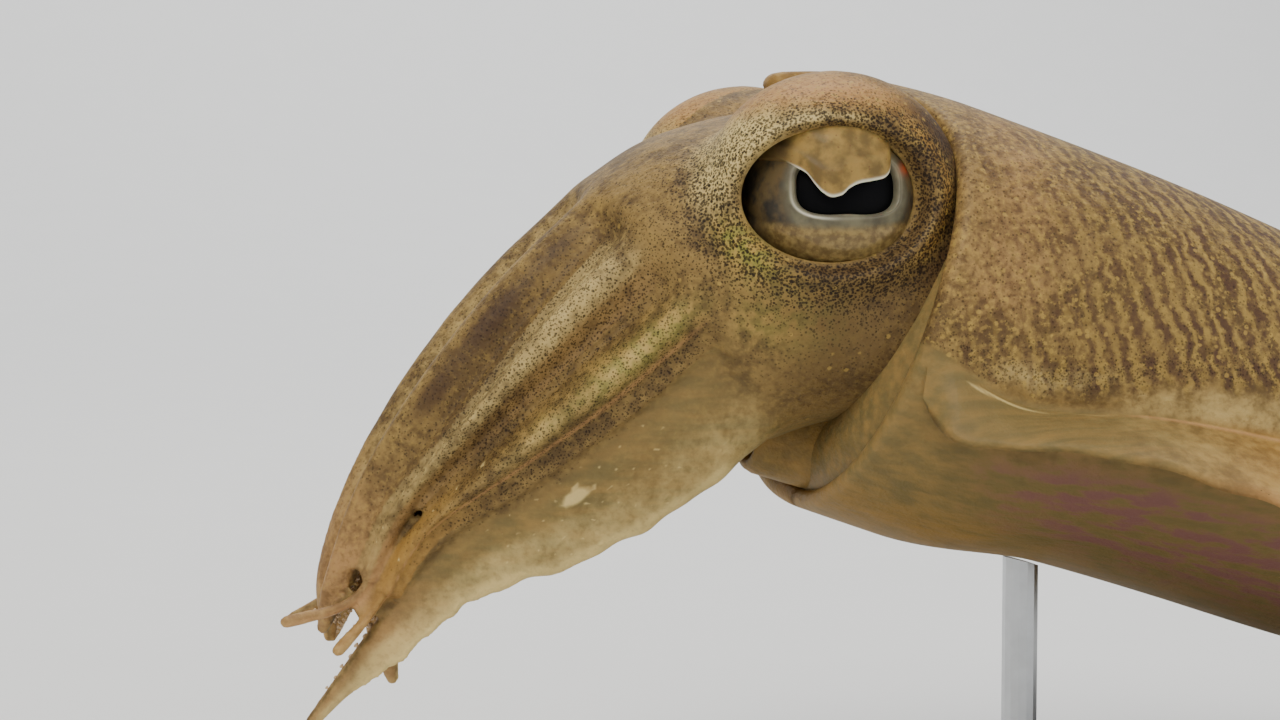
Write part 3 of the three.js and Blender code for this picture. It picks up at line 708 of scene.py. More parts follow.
@dataclass(frozen=True)
class SkinFinish:
    """Moist skin: soft clouds of colour, wavy stripes, pale flecks and two sizes of dots over them.

    The mesh carries how strong each marking is, as numbers between 0 and 1: pale, green, gold, blush,
    dark, olive, pink, mottle, stripes, flecks, dots and speckle. stripe_run is the place along the body in
    millimetres, and specks are pale dots that the mesh places one by one.
    """

    tones: SkinTones = SkinTones()
    stripe_pitch: float = 2.8

    def make(self, name: str) -> bpy.types.Material:
        """Builds the material."""
        s = Shader(name)
        cloud, fine, grain = s.noise(7.0, 4.0), s.noise(1.5, 3.0), s.noise(0.45, 2.0)
        uneven = cloud * 0.6 + fine * 0.4
        base = self._ground(s, uneven, fine)
        base = self._stripes(s, base, uneven)
        base = self._flecks(s, base, grain)
        return s.finish(
            Base_Color=self._dots(s, base), Roughness=0.58, IOR=1.38, Specular_IOR_Level=0.24,
            Normal=s.bump(fine * 0.6 + grain * 0.4, 0.3, s.bump(cloud, 0.6)), Coat_Weight=0.05,
            Coat_Roughness=0.3, Subsurface_Weight=0.12, Subsurface_Scale=0.001,
            Subsurface_Radius=(1.0, 0.6, 0.35),
        )

    def _area(self, s: Shader, key: str, uneven: Value, ragged: float) -> Value:
        """Returns how strong a marking is, with a ragged edge."""
        strength = s.attribute(key)
        torn = (uneven - 0.5) * (ragged * 2)
        return s.ramp(strength + torn * s.ramp(strength, 0, 0.3), 0.05, 0.95)

    def _ground(self, s: Shader, uneven: Value, fine: Value) -> Value:
        """Returns the soft ground colours."""
        c = self.tones
        streak = s.noise(1.6, 4.0, place=s.drawn_out(9))
        base = s.clouds(uneven, 0.4, 0.6, c.deep, c.tan)
        base = s.mix(self._area(s, "olive", uneven, 0.3), base, s.clouds(streak, 0.3, 0.7, c.olive, c.tan))
        base = s.mix(self._area(s, "pink", uneven, 0.6) * s.ramp(streak, 0.42, 0.58), base, c.pink)
        grass = s.clouds(fine, 0.35, 0.65, c.green, c.straw)
        for key, ragged, colour in (
            ("gold", 0.3, c.gold), ("blush", 0.3, c.blush), ("green", 0.5, grass), ("pale", 0.6, c.cream),
        ):
            base = s.mix(self._area(s, key, uneven, ragged), base, colour)
        return base

    def _stripes(self, s: Shader, base: Value, uneven: Value) -> Value:
        """Returns the base with the mottled grain, the wavy bands across the back and the dark mottles, which
        on the belly are painted shade under the fins.
        """
        c = self.tones
        grain = s.noise(0.75, 3.0, 0.65)
        mottle, stripes = s.attribute("mottle"), s.attribute("stripes")
        sway = (s.noise(11.0, 2.0) - 0.5) * 7.0
        jitter = (s.noise(2.0, 3.0) - 0.5) * 3.4
        place = s.attribute("stripe_run") + (sway + jitter)
        wave = s.math("SINE", place * (2 * math.pi / self.stripe_pitch))
        broken = s.ramp(s.noise(2.6, 4.0), 0.34, 0.56)
        for strength, colour in (
            (s.ramp(grain, 0.5, 0.36) * (mottle * 0.6), c.mottle),
            (s.ramp(grain, 0.52, 0.66) * (mottle * 0.65), c.straw),
            (s.ramp(wave, -0.2, -0.95) * (stripes * broken) * 0.6, c.straw),
            (s.ramp(wave, -0.1, 0.9) * broken * stripes * 0.85, c.stripe),
            (self._area(s, "dark", uneven, 0.7) * 0.8, c.dark),
        ):
            base = s.mix(strength, base, colour)
        return base

    def _flecks(self, s: Shader, base: Value, grain: Value) -> Value:
        """Returns the base with small pale flecks and the specks that the mesh places."""
        near, chance, _ = s.cells(1.1)
        shown = chance < s.attribute("flecks") * 0.4
        fleck = s.ramp(near + grain * 0.3, 0.5, 0.35) * shown * 0.6
        base = s.mix(fleck, base, self.tones.straw)
        return s.mix(s.ramp(s.attribute("specks"), 0.25, 0.75, 0.0, 0.85), base, self.tones.cream)

    def _dots(self, s: Shader, base: Value) -> Value:
        """Returns the base with near-black dots in two sizes, close together where dots is near 1."""
        density, seen = s.attribute("dots"), s.attribute("speckle")
        crowd = s.ramp(density, 0.68, 0.98, 0.0, 0.17)
        for size, low, widest in ((0.34, 0.45, 0.42), (0.5, 0.1, 0.34)):
            near, growth, chance = s.cells(size)
            wide = growth * (widest * 0.45) + (crowd + widest * 0.55)
            shown = chance < s.ramp(density, low, low + 0.35, 0.0, 0.92)
            spot = s.ramp(near / wide, 1.15, 0.75) * shown * (seen * 0.88)
            base = s.mix(spot, base, self.tones.dot)
        return base


@dataclass(frozen=True)
class IrisFinish:
    """The globe's coloured surface: a silver ring, a dark gap in front and a gold fold below."""

    def make(self, name: str) -> bpy.types.Material:
        """Builds the material."""
        s = Shader(name)
        streak, cloud = s.noise(0.8, 4.0), s.noise(3.0, 3.0)
        colour = s.clouds(cloud, 0.4, 0.65, tone(48, 44, 38), tone(92, 76, 48))
        for key, layer in (
            ("silver", s.clouds(cloud, 0.3, 0.7, tone(110, 104, 78), tone(74, 68, 50))),
            ("fold", s.clouds(streak, 0.35, 0.65, tone(102, 80, 42), tone(142, 118, 66))),
            # rim is a painted highlight along the pupil's edge, faint all round and strongest at the lower
            # front
            ("rim", tone(214, 208, 184)),
            ("veil", s.clouds(cloud, 0.35, 0.65, tone(104, 84, 44), tone(150, 112, 58))),
            ("ember", tone(176, 78, 40)),
        ):
            colour = s.mix(s.attribute(key), colour, layer)
        return s.finish(
            Base_Color=colour, Roughness=0.5, IOR=1.4, Normal=s.bump(streak, 0.08), Coat_Weight=0.14,
            Coat_Roughness=0.1, Subsurface_Weight=0.1, Subsurface_Scale=0.001,
        )


@dataclass(frozen=True)
class CurtainFinish:
    """The lobe of the iris that hangs over the pupil: gold with a bright rim."""

    def make(self, name: str) -> bpy.types.Material:
        """Builds the material."""
        s = Shader(name)
        gold = s.clouds(s.noise(2.2, 4.0), 0.35, 0.65, tone(108, 86, 40), tone(154, 124, 62))
        near, chance, _ = s.cells(0.8)
        pin = s.ramp(near, 0.2, 0.1) * (chance < 0.3) * 0.7
        colour = s.mix(s.attribute("shadow"), gold, tone(76, 58, 30))
        colour = s.mix(pin, colour, tone(110, 74, 40))
        colour = s.mix(s.attribute("rim"), colour, tone(250, 240, 212))
        return s.finish(
            Base_Color=colour, Roughness=0.62, IOR=1.4, Normal=s.bump(s.noise(0.5, 3.0), 0.05),
            Coat_Weight=0.06, Coat_Roughness=0.15, Subsurface_Weight=0.25, Subsurface_Scale=0.001,
        )


@dataclass(frozen=True)
class PlainFinish:
    """A finish of one colour that may vary softly, with a fine grain in its surface."""

    colour: tuple
    roughness: float
    metal: float = 0.0
    vary: float = 0.08
    grain_mm: float = 0.5
    depth: float = 0.02
    shine: float = 0.5

    def make(self, name: str) -> bpy.types.Material:
        """Builds the material."""
        s = Shader(name)
        cloud = s.noise(self.grain_mm * 12, 3.0)
        dull = tuple(v * (1 - self.vary) for v in self.colour)
        clear = tuple(min(v * (1 + self.vary), 1) for v in self.colour)
        return s.finish(
            Base_Color=s.clouds(cloud, 0.3, 0.7, dull, clear), Metallic=self.metal,
            Specular_IOR_Level=self.shine, Normal=s.bump(s.noise(self.grain_mm, 3.0), self.depth),
            Roughness=s.ramp(cloud, 0.25, 0.75, self.roughness * 0.92, self.roughness * 1.08),
        )


# Sub-assemblies
@dataclass
class MantleSkin:
    """The mantle with both fins, as one skin with a free rim round the neck."""

    rows: int = 250
    belly_columns: int = 34
    fin_columns: int = 36
    back_columns: int = 48

    def _columns(self) -> tuple[Array, Array, Array]:
        """Returns the right half's columns, belly to back: the arc, the place there and the fin's share."""
        arc = np.repeat([0, 1, 2], [self.belly_columns, self.fin_columns, self.back_columns])
        place = np.concatenate([
            np.arange(self.belly_columns) / self.belly_columns,
            np.arange(self.fin_columns) / (self.fin_columns - 1),
            (np.arange(self.back_columns) + 1) / (self.back_columns + 1),
        ])
        return arc, place, np.where(arc == 1, 1 - np.abs(2 * place - 1), 0.0)

    def _walk(self) -> Array:
        """Returns the places of the rows down the axis, evenly spread along the mantle's edge."""
        fine = FIN_START + (MANTLE_END - FIN_START) * np.sin(QUARTER * np.linspace(0, 1, 1500))
        edge = np.concatenate([[0], np.cumsum(np.hypot(np.diff(fine), np.diff(half_width(fine))))])
        return np.interp(np.linspace(0, edge[-1], self.rows), edge, fine)

    def _fin_root(self, t: Array) -> list[Array]:
        """Returns the angles of the fin root's lower and upper edge at t."""
        x = share(t)
        belly = np.maximum(belly_depth(x) * rounding(x), 0.5)
        half = np.minimum(FIN_ROOT_HALF, 0.3 * belly)
        levels = [(fin_level(t) + sign * half - widest_level(x)) / belly for sign in (-1, 1)]
        return [np.arcsin(signed_power(np.clip(v, -0.95, 0.95), MANTLE_POWER / 2))[:, None] for v in levels]

    def build(self) -> bpy.types.Object:
        """Builds the skin and the numbers that its finish reads.

        Formula: the mantle's section, out of whose sides the fins grow sideways, each two faces close
        together that wave by a sine and droop towards the margin.
        """
        walk = self._walk()
        arc, place, out = (np.concatenate([v, v[::-1]]) for v in self._columns())
        side = np.repeat([1, -1], len(arc) // 2)
        low, high = self._fin_root(walk)
        angle = np.where(arc == 1, low + (high - low) * place, high + (QUARTER - high) * place)
        angle = np.where(arc == 0, -QUARTER + (low + QUARTER) * place, angle)
        q = np.linspace(0, 1, self.rows)[:, None]
        rim = rim_place(angle[0])
        # rows slide forward to the rim near the front and run square to the axis further back
        fade = 1 - smooth(0, 34, walk[:, None] - FIN_START)
        t = np.minimum(walk[:, None] + (rim + MANTLE_WALL / 2 - FIN_START) * fade, MANTLE_END - 1e-3)
        body = mantle_point(t, angle)
        local_t, local_n = to_mantle(body)

        edge = half_width(walk)
        slant = np.gradient(edge, walk + np.linspace(0, 1e-6, self.rows))[:, None]
        away = unit(points_of(-slant, 1.0))
        notch = smooth(0.5, 0.5 + 2.2 * FIN_NOTCH, edge[:, None]) ** 0.6
        reach = fin_reach(q) * smooth(0, 0.03, q) * notch
        reach_here = reach * out
        phase = np.where(side < 0, 0.3, 0.75)
        lift = (fin_wave(q) * np.sin(2 * math.pi * (FIN_WAVES * q + phase)) - fin_droop(q)) * out**1.4
        lift += 0.5 * np.sin(2 * math.pi * (FIN_FRILLS * q + 0.4 * phase)) * out**4 * smooth(0.12, 0.3, q)
        face = np.where(place < 0.5, -1.0, 1.0)
        margin_round = np.sqrt(np.clip(1 - (np.clip(out - 0.95, 0, 1) / 0.05) ** 2, 0, 1))
        thin = FIN_MARGIN_HALF + (FIN_INNER_HALF - FIN_MARGIN_HALF) * (1 - out) ** 1.2
        thin = (thin + (FIN_ROOT_HALF - FIN_INNER_HALF) * np.exp(-reach_here / 1.6)) * margin_round
        blade = smooth(0, 1.5, reach_here)
        middle = fin_level(walk)[:, None]
        fin_n = middle + (local_n - middle) * (1 - blade) + face * thin * blade + lift
        is_fin = (arc == 1) & (reach > 0.05)
        new_n = np.where(is_fin, fin_n, local_n)
        new_t = np.where(is_fin, local_t + away[..., 0] * reach_here, local_t)
        new_y = np.where(arc == 1, body[..., 1] + away[..., 1] * reach_here, body[..., 1]) * side

        inner = self._inner_rows(angle[0], rim, side)
        cap = from_mantle(CAVITY_END, 0.0, widest_level(share(CAVITY_END)))
        tail = from_mantle(MANTLE_END, 0.0, widest_level(1.0))
        grid = np.concatenate([inner, from_mantle(new_t, new_y, new_n)])
        obj = Shell.tube(grid, cap, tail).build("skin_mantle")

        on_fin, top = arc == 1, (arc == 1) * (place > 0.5)
        over = new_n - pattern_edge(local_t)
        back = smooth(-1.0, 1.4, over + 0.8 * np.sin(local_t * 1.1)) * (arc == 2)
        fade_in = smooth(8, 48, t)
        # under marks the belly below the fins; its olive and slight darkening are partly the belly's own
        # olive-grey and partly painted shade under the fins
        under = smooth(2, -8, new_n - fin_level(local_t)) * (arc == 0)
        margin = on_fin * smooth(0.8, 0.97, out)
        crease = top * bump(reach_here - 0.8, 0.28) * smooth(3.0, 5.5, reach)
        flank = (arc == 2) * smooth(1.0, -1.5, over)
        marks = {
            "stripe_run": local_t + 0.6 * (new_n + 10),
            "stripes": back * (0.1 + 0.9 * fade_in) * smooth(MANTLE_END, MANTLE_END - 8, t),
            "mottle": back * (0.75 + 0.25 * fade_in) * smooth(1, 12, t) + flank * 0.2,
            "gold": flank * (0.3 + 0.4 * smooth(70, 110, local_t)) + back * 0.5 * smooth(14, 4, t)
            + on_fin * (0.1 + 0.75 * smooth(0.1, 0.35, q)) + under * smooth(-30, -36, new_n) * 0.4,
            "blush": crease * smooth(0.12, 0.16, q) * smooth(0.5, 0.25, q) * 0.8
            + margin * smooth(0.1, 0.3, q) * 0.7 + back * bump(t - 22, 9) * smooth(2, 12, over) * 0.35,
            "specks": crease * smooth(0.004, 0.02, q) * smooth(0.155, 0.12, q) * 0.75,
            "pale": back * (bump(over - 2.0, 1.8) * bump(t - 31, 9) * 0.5 + 0.2 * smooth(8, 0, t))
            + (flank * 0.4 + top * 0.2) * smooth(22, 48, local_t),
            # olive on the belly is partly its own colour and partly painted shade under the fins
            "olive": under * 0.85 + flank * 0.4 + on_fin * smooth(0.3, 0.1, q) * 0.8,
            "pink": under * bump(new_n + 26.5, 5.5) * smooth(16, 50, t) * 1.3,
            "dots": back * (0.34 + 0.45 * bump(over - 2.0, 3.0)) * smooth(2, 10, t)
            + margin * 0.3 * smooth(0.12, 0.3, q) + flank * 0.12,
            "speckle": np.clip(back * 0.5 + on_fin * 0.6 + 0.1, 0, 1),
            "flecks": back * 0.8,
            # the slight dark on the belly is painted shade under the fins
            "dark": back * (0.1 + 0.14 * smooth(12, 40, t)) + under * 0.08,
        }
        for key, value in marks.items():
            full = np.broadcast_to(value, angle.shape)
            full = np.concatenate([np.repeat(full[:1], len(inner), 0), full])
            store(obj.data, **{key: np.append(full, [0.0, 0.0])})
        return obj

    def _inner_rows(self, angle: Array, rim: Array, side: Array) -> Array:
        """Returns the wall inside the rim and the rounded lip, from the inside out."""
        half_wall = MANTLE_WALL / 2
        rows = []
        for depth in np.linspace(1, 0, 14) ** 0.8:
            t = rim + half_wall + (CAVITY_END - rim - half_wall) * depth
            rows.append(mantle_point(t, angle, -MANTLE_WALL))
        for a in np.linspace(math.pi, 0, 9)[1:-1]:
            t = rim + half_wall * (1 - math.sin(a))
            rows.append(mantle_point(t, angle, -half_wall * (1 - math.cos(a))))
        return np.array(rows) * points_of(1, side, 1)


@dataclass
class EyeFrame:
    """An eye's own frame: x to the rear, y up and z out of the head, mirrored on the right side."""

    side: Side

    def __post_init__(self) -> None:
        """Finds the frame's middle and directions."""
        self.out = unit(np.array([-0.16, self.side.value, 0.03]))
        self.rear = unit(np.array([1.0, 0, 0]) - self.out * self.out[0])
        self.up = np.cross(self.out, self.rear) * -self.side.value
        self.centre = np.array([0, self.side.value * EYE_SPACING / 2, 0]) - self.out * GLOBE_RADIUS

    def to_world(self, p: Array) -> Array:
        """Turns points of the eye's frame into points of the animal."""
        return self.centre + p[..., :1] * self.rear + p[..., 1:2] * self.up + p[..., 2:3] * self.out

    def to_eye(self, p: Array) -> Array:
        """Turns points of the animal into points of the eye's frame."""
        d = p - self.centre
        return np.stack([d @ self.rear, d @ self.up, d @ self.out], -1)


def ring_place(p: Array) -> tuple[Array, Array]:
    """Returns how many opening sizes places of an eye's frame lie from its middle, and the turn in degrees.

    The turn is 0 in front, 90 above and 180 behind, and negative below.
    """
    x, y = (p[..., 0] + OPENING_FORWARD) / OPENING_WIDE, p[..., 1] / OPENING_HIGH
    return np.hypot(x, y), np.degrees(np.arctan2(y, -x))


# Patches round the eye: marking, strength, ring and its spread, turn and its spread
EYE_PATCHES = (
    ("pale", 0.95, 1.3, 0.3, 30, 44),
    ("pale", 0.45, 1.16, 0.08, 88, 34),
    ("specks", 0.3, 1.85, 0.16, 128, 22),
    ("gold", 1.0, 1.6, 0.3, 86, 44),
    ("blush", 0.6, 1.6, 0.3, 86, 44),
    ("dots", -0.3, 1.6, 0.3, 86, 44),
    ("green", 0.8, 1.25, 0.25, -34, 26),
    ("dark", 0.4, 1.7, 0.22, 132, 26),
    ("dark", 0.45, 1.12, 0.1, -90, 50),
    ("dark", 0.2, 1.8, 0.25, -60, 35),
    ("flecks", 1.0, 1.6, 0.3, 130, 40),
)
# Dark patches down the uppermost arms: share along the arm, length and strength
ARM_PATCHES = ((0.13, 0.05, 0.6), (0.28, 0.08, 1.1), (0.42, 0.05, 0.9), (0.58, 0.05, 0.4))


@dataclass
class HeadSkin:
    """The head, the brows, the lids and the eight arms, as one skin."""

    arms: list[Arm]
    eyes: list[EyeFrame]

    def _source(self) -> Shell:
        """Returns overlapping closed surfaces: the core, the eye domes, the arms and their webs."""
        turn = circle(96)
        core = head_point(np.linspace(0, 1, 64)[:, None], turn)
        shells = [Shell.tube(core, *([head_x(v), 0, head_z(v)] for v in (0, 1)))]
        lat = np.linspace(0, math.pi, 50)[1:-1, None]
        for eye in self.eyes:
            s = eye.side.value
            ball = points_of(np.sin(lat) * np.cos(turn), np.cos(lat) * s, np.sin(lat) * np.sin(turn))
            brow = 1 + 0.05 * np.clip(ball[..., 2:], 0, 1) * np.abs(ball[..., 1:2])
            middle, reach = DOME_MIDDLE * (1, s, 1), DOME_SIZE * (0, s, 0)
            shells.append(Shell.tube(ball * brow * DOME_SIZE + middle, middle + reach, middle - reach))
        angle = circle(48)
        for arm in self.arms:
            middle, along, *_ = arm.frame(np.array([0.0, 1.0]))
            tip = middle[1] + along[1] * ARM_BUILD_RADIUS * 0.5
            shells.append(Shell.tube(arm.surface(np.linspace(0, 1, 150), angle), middle[0], tip))
        for border, end in enumerate(WEB_ENDS):
            for side in Side:
                grid, middle = Web(border, side, end).surface(angle[::3])
                shells.append(Shell.tube(grid, middle[0], middle[-1]))
        return Shell.join(shells)

    def _nearest_arm(self, points: Array) -> tuple[Array, Array, Array, Array, Array]:
        """Returns each point's nearest arm, share along it, places across and out of it, and outward way."""
        k = np.linspace(0, 1, 140)
        middle, _, outward, across = (np.vstack(v) for v in zip(*(arm.frame(k) for arm in self.arms)))
        half = np.concatenate([arm.half(k) for arm in self.arms])
        thick = np.concatenate([arm.thick(k) for arm in self.arms])
        size = np.maximum(half, 1) * np.maximum(thick, 1)
        best = np.empty(len(points), int)
        batch = 2000
        for start in range(0, len(points), batch):
            d = points[start:start + batch, None] - middle
            best[start:start + batch] = np.argmin(np.einsum("ijk,ijk->ij", d, d) / size, axis=1)
        gap = points - middle[best]
        off = np.sum(gap * across[best], 1) / np.maximum(half, 0.6)[best]
        out = np.sum(gap * outward[best], 1) / np.maximum(thick, 0.6)[best]
        return best // len(k), k[best % len(k)], off, out, outward[best]

    def _grooves(self, points: Array, beyond: Array) -> Array:
        """Presses the grooves between neighbouring arms into their outer faces."""
        arm, k, across, out, outward = self._nearest_arm(points)
        number = np.array([a.pair.number for a in self.arms])[arm]
        neighbour = np.clip(number - np.sign(across).astype(int), 1, 4)
        pairs = zip(np.minimum(number, neighbour).tolist(), np.maximum(number, neighbour).tolist())
        depth = np.array([GROOVE_DEPTH[pair] for pair in pairs])
        half = np.choose(arm, [item.half(k) for item in self.arms])
        press = depth * bump((1 - np.abs(across)) * half, 1.5)
        press *= smooth(-1.5, 8, beyond) * smooth(-0.3, 0.3, out) * smooth(0.9, 0.5, k)
        return points - outward * press[:, None]

    def _draw_tips(self, points: Array) -> Array:
        """Draws the arms thinner towards their tips, round their own middles."""
        arm, k, *_ = self._nearest_arm(points)
        moved = points.copy()
        for i, item in enumerate(self.arms):
            here = (arm == i) & (k > 0.75)
            place = k[here]
            middle = item.frame(place)[0]
            half, thick = item.half(place), item.thick(place)
            built = np.maximum(half, ARM_BUILD_RADIUS) * np.maximum(thick, ARM_BUILD_RADIUS)
            moved[here] = middle + (points[here] - middle) * np.sqrt(half * thick / built)[:, None]
        return moved

    def _lid_patch(self, eye: EyeFrame, tree: BVHTree) -> Array:
        """Returns the lid's grid, from the ring on the head, over the lip, to the fold inside."""
        phi = circle(LID_COLUMNS)
        lip = 8.55 - 0.4 * np.cos(phi) + 0.5 * np.sin(phi) - 1.35 * np.cos(2 * phi)

        def row(q: float, z: Array | float) -> Array:
            """Returns places at q times the opening's size."""
            x = q * OPENING_WIDE * np.cos(phi) - OPENING_FORWARD
            return points_of(x, q * OPENING_HIGH * np.sin(phi), z)

        rows = []
        for q in np.linspace(PATCH_REACH, LIP_REACH, 16):
            z = lip.copy()
            for i, start in enumerate(to_scene(eye.to_world(row(q, 24.0)))):
                hit = tree.ray_cast(Vector(start), Vector(-eye.out))[0]
                if hit:
                    z[i] = eye.to_eye(from_scene(hit))[2]
            swell = 0.55 * bump(q - 1.1, 0.07) * (0.7 + 0.5 * np.sin(phi))
            rows.append(row(q, z + (lip - z) * smooth(PATCH_REACH - 0.02, LIP_REACH, q) + swell))
        for a in np.linspace(0, math.pi, 9)[1:]:
            rows.append(row(LIP_REACH - 0.05 * math.sin(a), lip - 0.45 * (1 - math.cos(a))))
        for depth, q in ((1.6, 1.05), (3.0, 1.09), (5.0, 1.12), (8.0, 1.12)):
            rows.append(row(q, lip - depth))
        return eye.to_world(np.array(rows))

    def _weld_lids(self, bm: bmesh.types.BMesh, eye: EyeFrame, tree: BVHTree) -> None:
        """Cuts a round hole over the eye and welds the lid patch into it."""
        grid = to_scene(self._lid_patch(eye, tree))
        centre = Vector(to_scene(eye.centre))
        gone = []
        for face in bm.faces:
            middle = face.calc_center_median()
            p = eye.to_eye(from_scene(middle))
            if p[2] > 0 and ring_place(p)[0] < PATCH_REACH + 0.055 and (middle - centre).length < 0.022:
                gone.append(face)
        bmesh.ops.delete(bm, geom=gone, context="FACES")
        rows = [[bm.verts.new(p) for p in row] for row in grid]
        for a, b in zip(rows, rows[1:]):
            for i in range(LID_COLUMNS):
                j = (i + 1) % LID_COLUMNS
                bm.faces.new((a[i], a[j], b[j], b[i]))
        inner = [bm.edges.get(pair) for pair in zip(rows[0], rows[0][1:] + rows[0][:1])]
        own = set(inner)
        near = []
        for edge in bm.edges:
            if edge.is_boundary and edge not in own:
                p = eye.to_eye(from_scene((edge.verts[0].co + edge.verts[1].co) / 2))
                if p[2] > 0 and 1.25 < ring_place(p)[0] < 1.6:
                    near.append(edge)
        bmesh.ops.bridge_loops(bm, edges=inner + near)

    def build(self) -> bpy.types.Object:
        """Builds the skin and the numbers that its finish reads."""
        rough = self._source().build("head_source")
        remesh = rough.modifiers.new("join", "REMESH")
        remesh.mode = "VOXEL"
        remesh.voxel_size = VOXEL * MM
        graph = bpy.context.evaluated_depsgraph_get()
        mesh = bpy.data.meshes.new_from_object(rough.evaluated_get(graph))
        bpy.data.objects.remove(rough)

        points = relax(mesh, read_points(mesh), 0.5, 2)
        beyond = past_crown(points)
        soft = 0.55 * bump(beyond - 1, 9.0) + 0.35 * smooth(2, -4, beyond)
        points = relax(mesh, points, np.clip(soft, 0, 0.6), 45)
        points = self._draw_tips(self._grooves(points, beyond))
        points = relax(mesh, points, 0.4, 1)
        mesh.vertices.foreach_set("co", to_scene(points).astype(np.float32).ravel())
        mesh.update()

        bm = bmesh.new()
        bm.from_mesh(mesh)
        tree = BVHTree.FromBMesh(bm)
        for eye in self.eyes:
            self._weld_lids(bm, eye, tree)
        obj = finished(bm, mesh, "skin_head")
        self._mark(mesh)
        return obj

    def _mark(self, mesh: bpy.types.Mesh) -> None:
        """Works out how strong each marking is at each point."""
        points = read_points(mesh)
        arm, k, across, out, _ = self._nearest_arm(points)
        number = np.array([a.pair.number for a in self.arms])[arm]
        on_arm = smooth(-5, 5, past_crown(points))
        inner = on_arm * smooth(-0.1, -0.7, out)
        parts = [
            {"dots": 0.58 - inner * 0.8, "blush": inner * 0.5},
            self._head_marks(points, 1 - on_arm),
            self._arm_marks(on_arm, number, k, across, out),
            *(self._eye_marks(eye.to_eye(points)) for eye in self.eyes),
        ]
        marks = {}
        for part in parts:
            for name, value in part.items():
                marks[name] = marks.get(name, 0) + value
        marks["speckle"] = 0.3 + 0.62 * marks["dots"] - inner
        store(mesh, **{name: np.clip(value, 0, 1) for name, value in marks.items()})

    def _eye_marks(self, p: Array) -> dict[str, Array]:
        """Returns the marks round one eye: white in front and over the lid, brown above, dark behind."""
        ring, turn = ring_place(p)
        over = bump(turn - 88, 34)
        behind = smooth(112, 150, turn) + smooth(-120, -150, turn)
        lid = smooth(1.03, 0.985, ring)
        marks = {
            "dots": bump(ring - 1.3, 0.5) * 0.4 - lid * 0.9,
            "dark": (bump(ring - 1.62, 0.17) * 0.8 + bump(ring - 1.12, 0.1) * 0.5) * behind,
            "gold": bump(ring - 1.36, 0.1) * behind * 0.5 + lid * over * 0.6,
            "mottle": bump(ring - 1.5, 0.4) * np.maximum(behind, over) * 0.6,
            "olive": lid * 0.7,
        }
        for name, strength, ring_at, ring_spread, turn_at, turn_spread in EYE_PATCHES:
            patch = strength * bump(ring - ring_at, ring_spread) * bump(turn - turn_at, turn_spread)
            marks[name] = marks.get(name, 0) + patch
        return {name: value * (p[:, 2] > -4) for name, value in marks.items()}

    def _head_marks(self, points: Array, here: Array) -> dict[str, Array]:
        """Returns the marks of the cheek, the chin and the crown."""
        x, y, z = points.T
        return {
            "dots": here * smooth(-14, -26, z) * -0.32,
            "blush": here * bump(z + 22, 6) * bump(x - 14, 8) * 0.3,
            "dark": here * smooth(-6, -12, z) * smooth(-40, -20, z) * smooth(-14, 0, x) * 0.45,
            "olive": here * smooth(-24, -31, z) * 0.8,
            "green": here * bump(x + 6, 10) * bump(z + 15, 6) * 0.45,
            "gold": here * smooth(4, 14, z) * smooth(18, 8, np.abs(y)) * 0.4,
            "flecks": here * 0.1,
            "mottle": here * 0.3,
        }

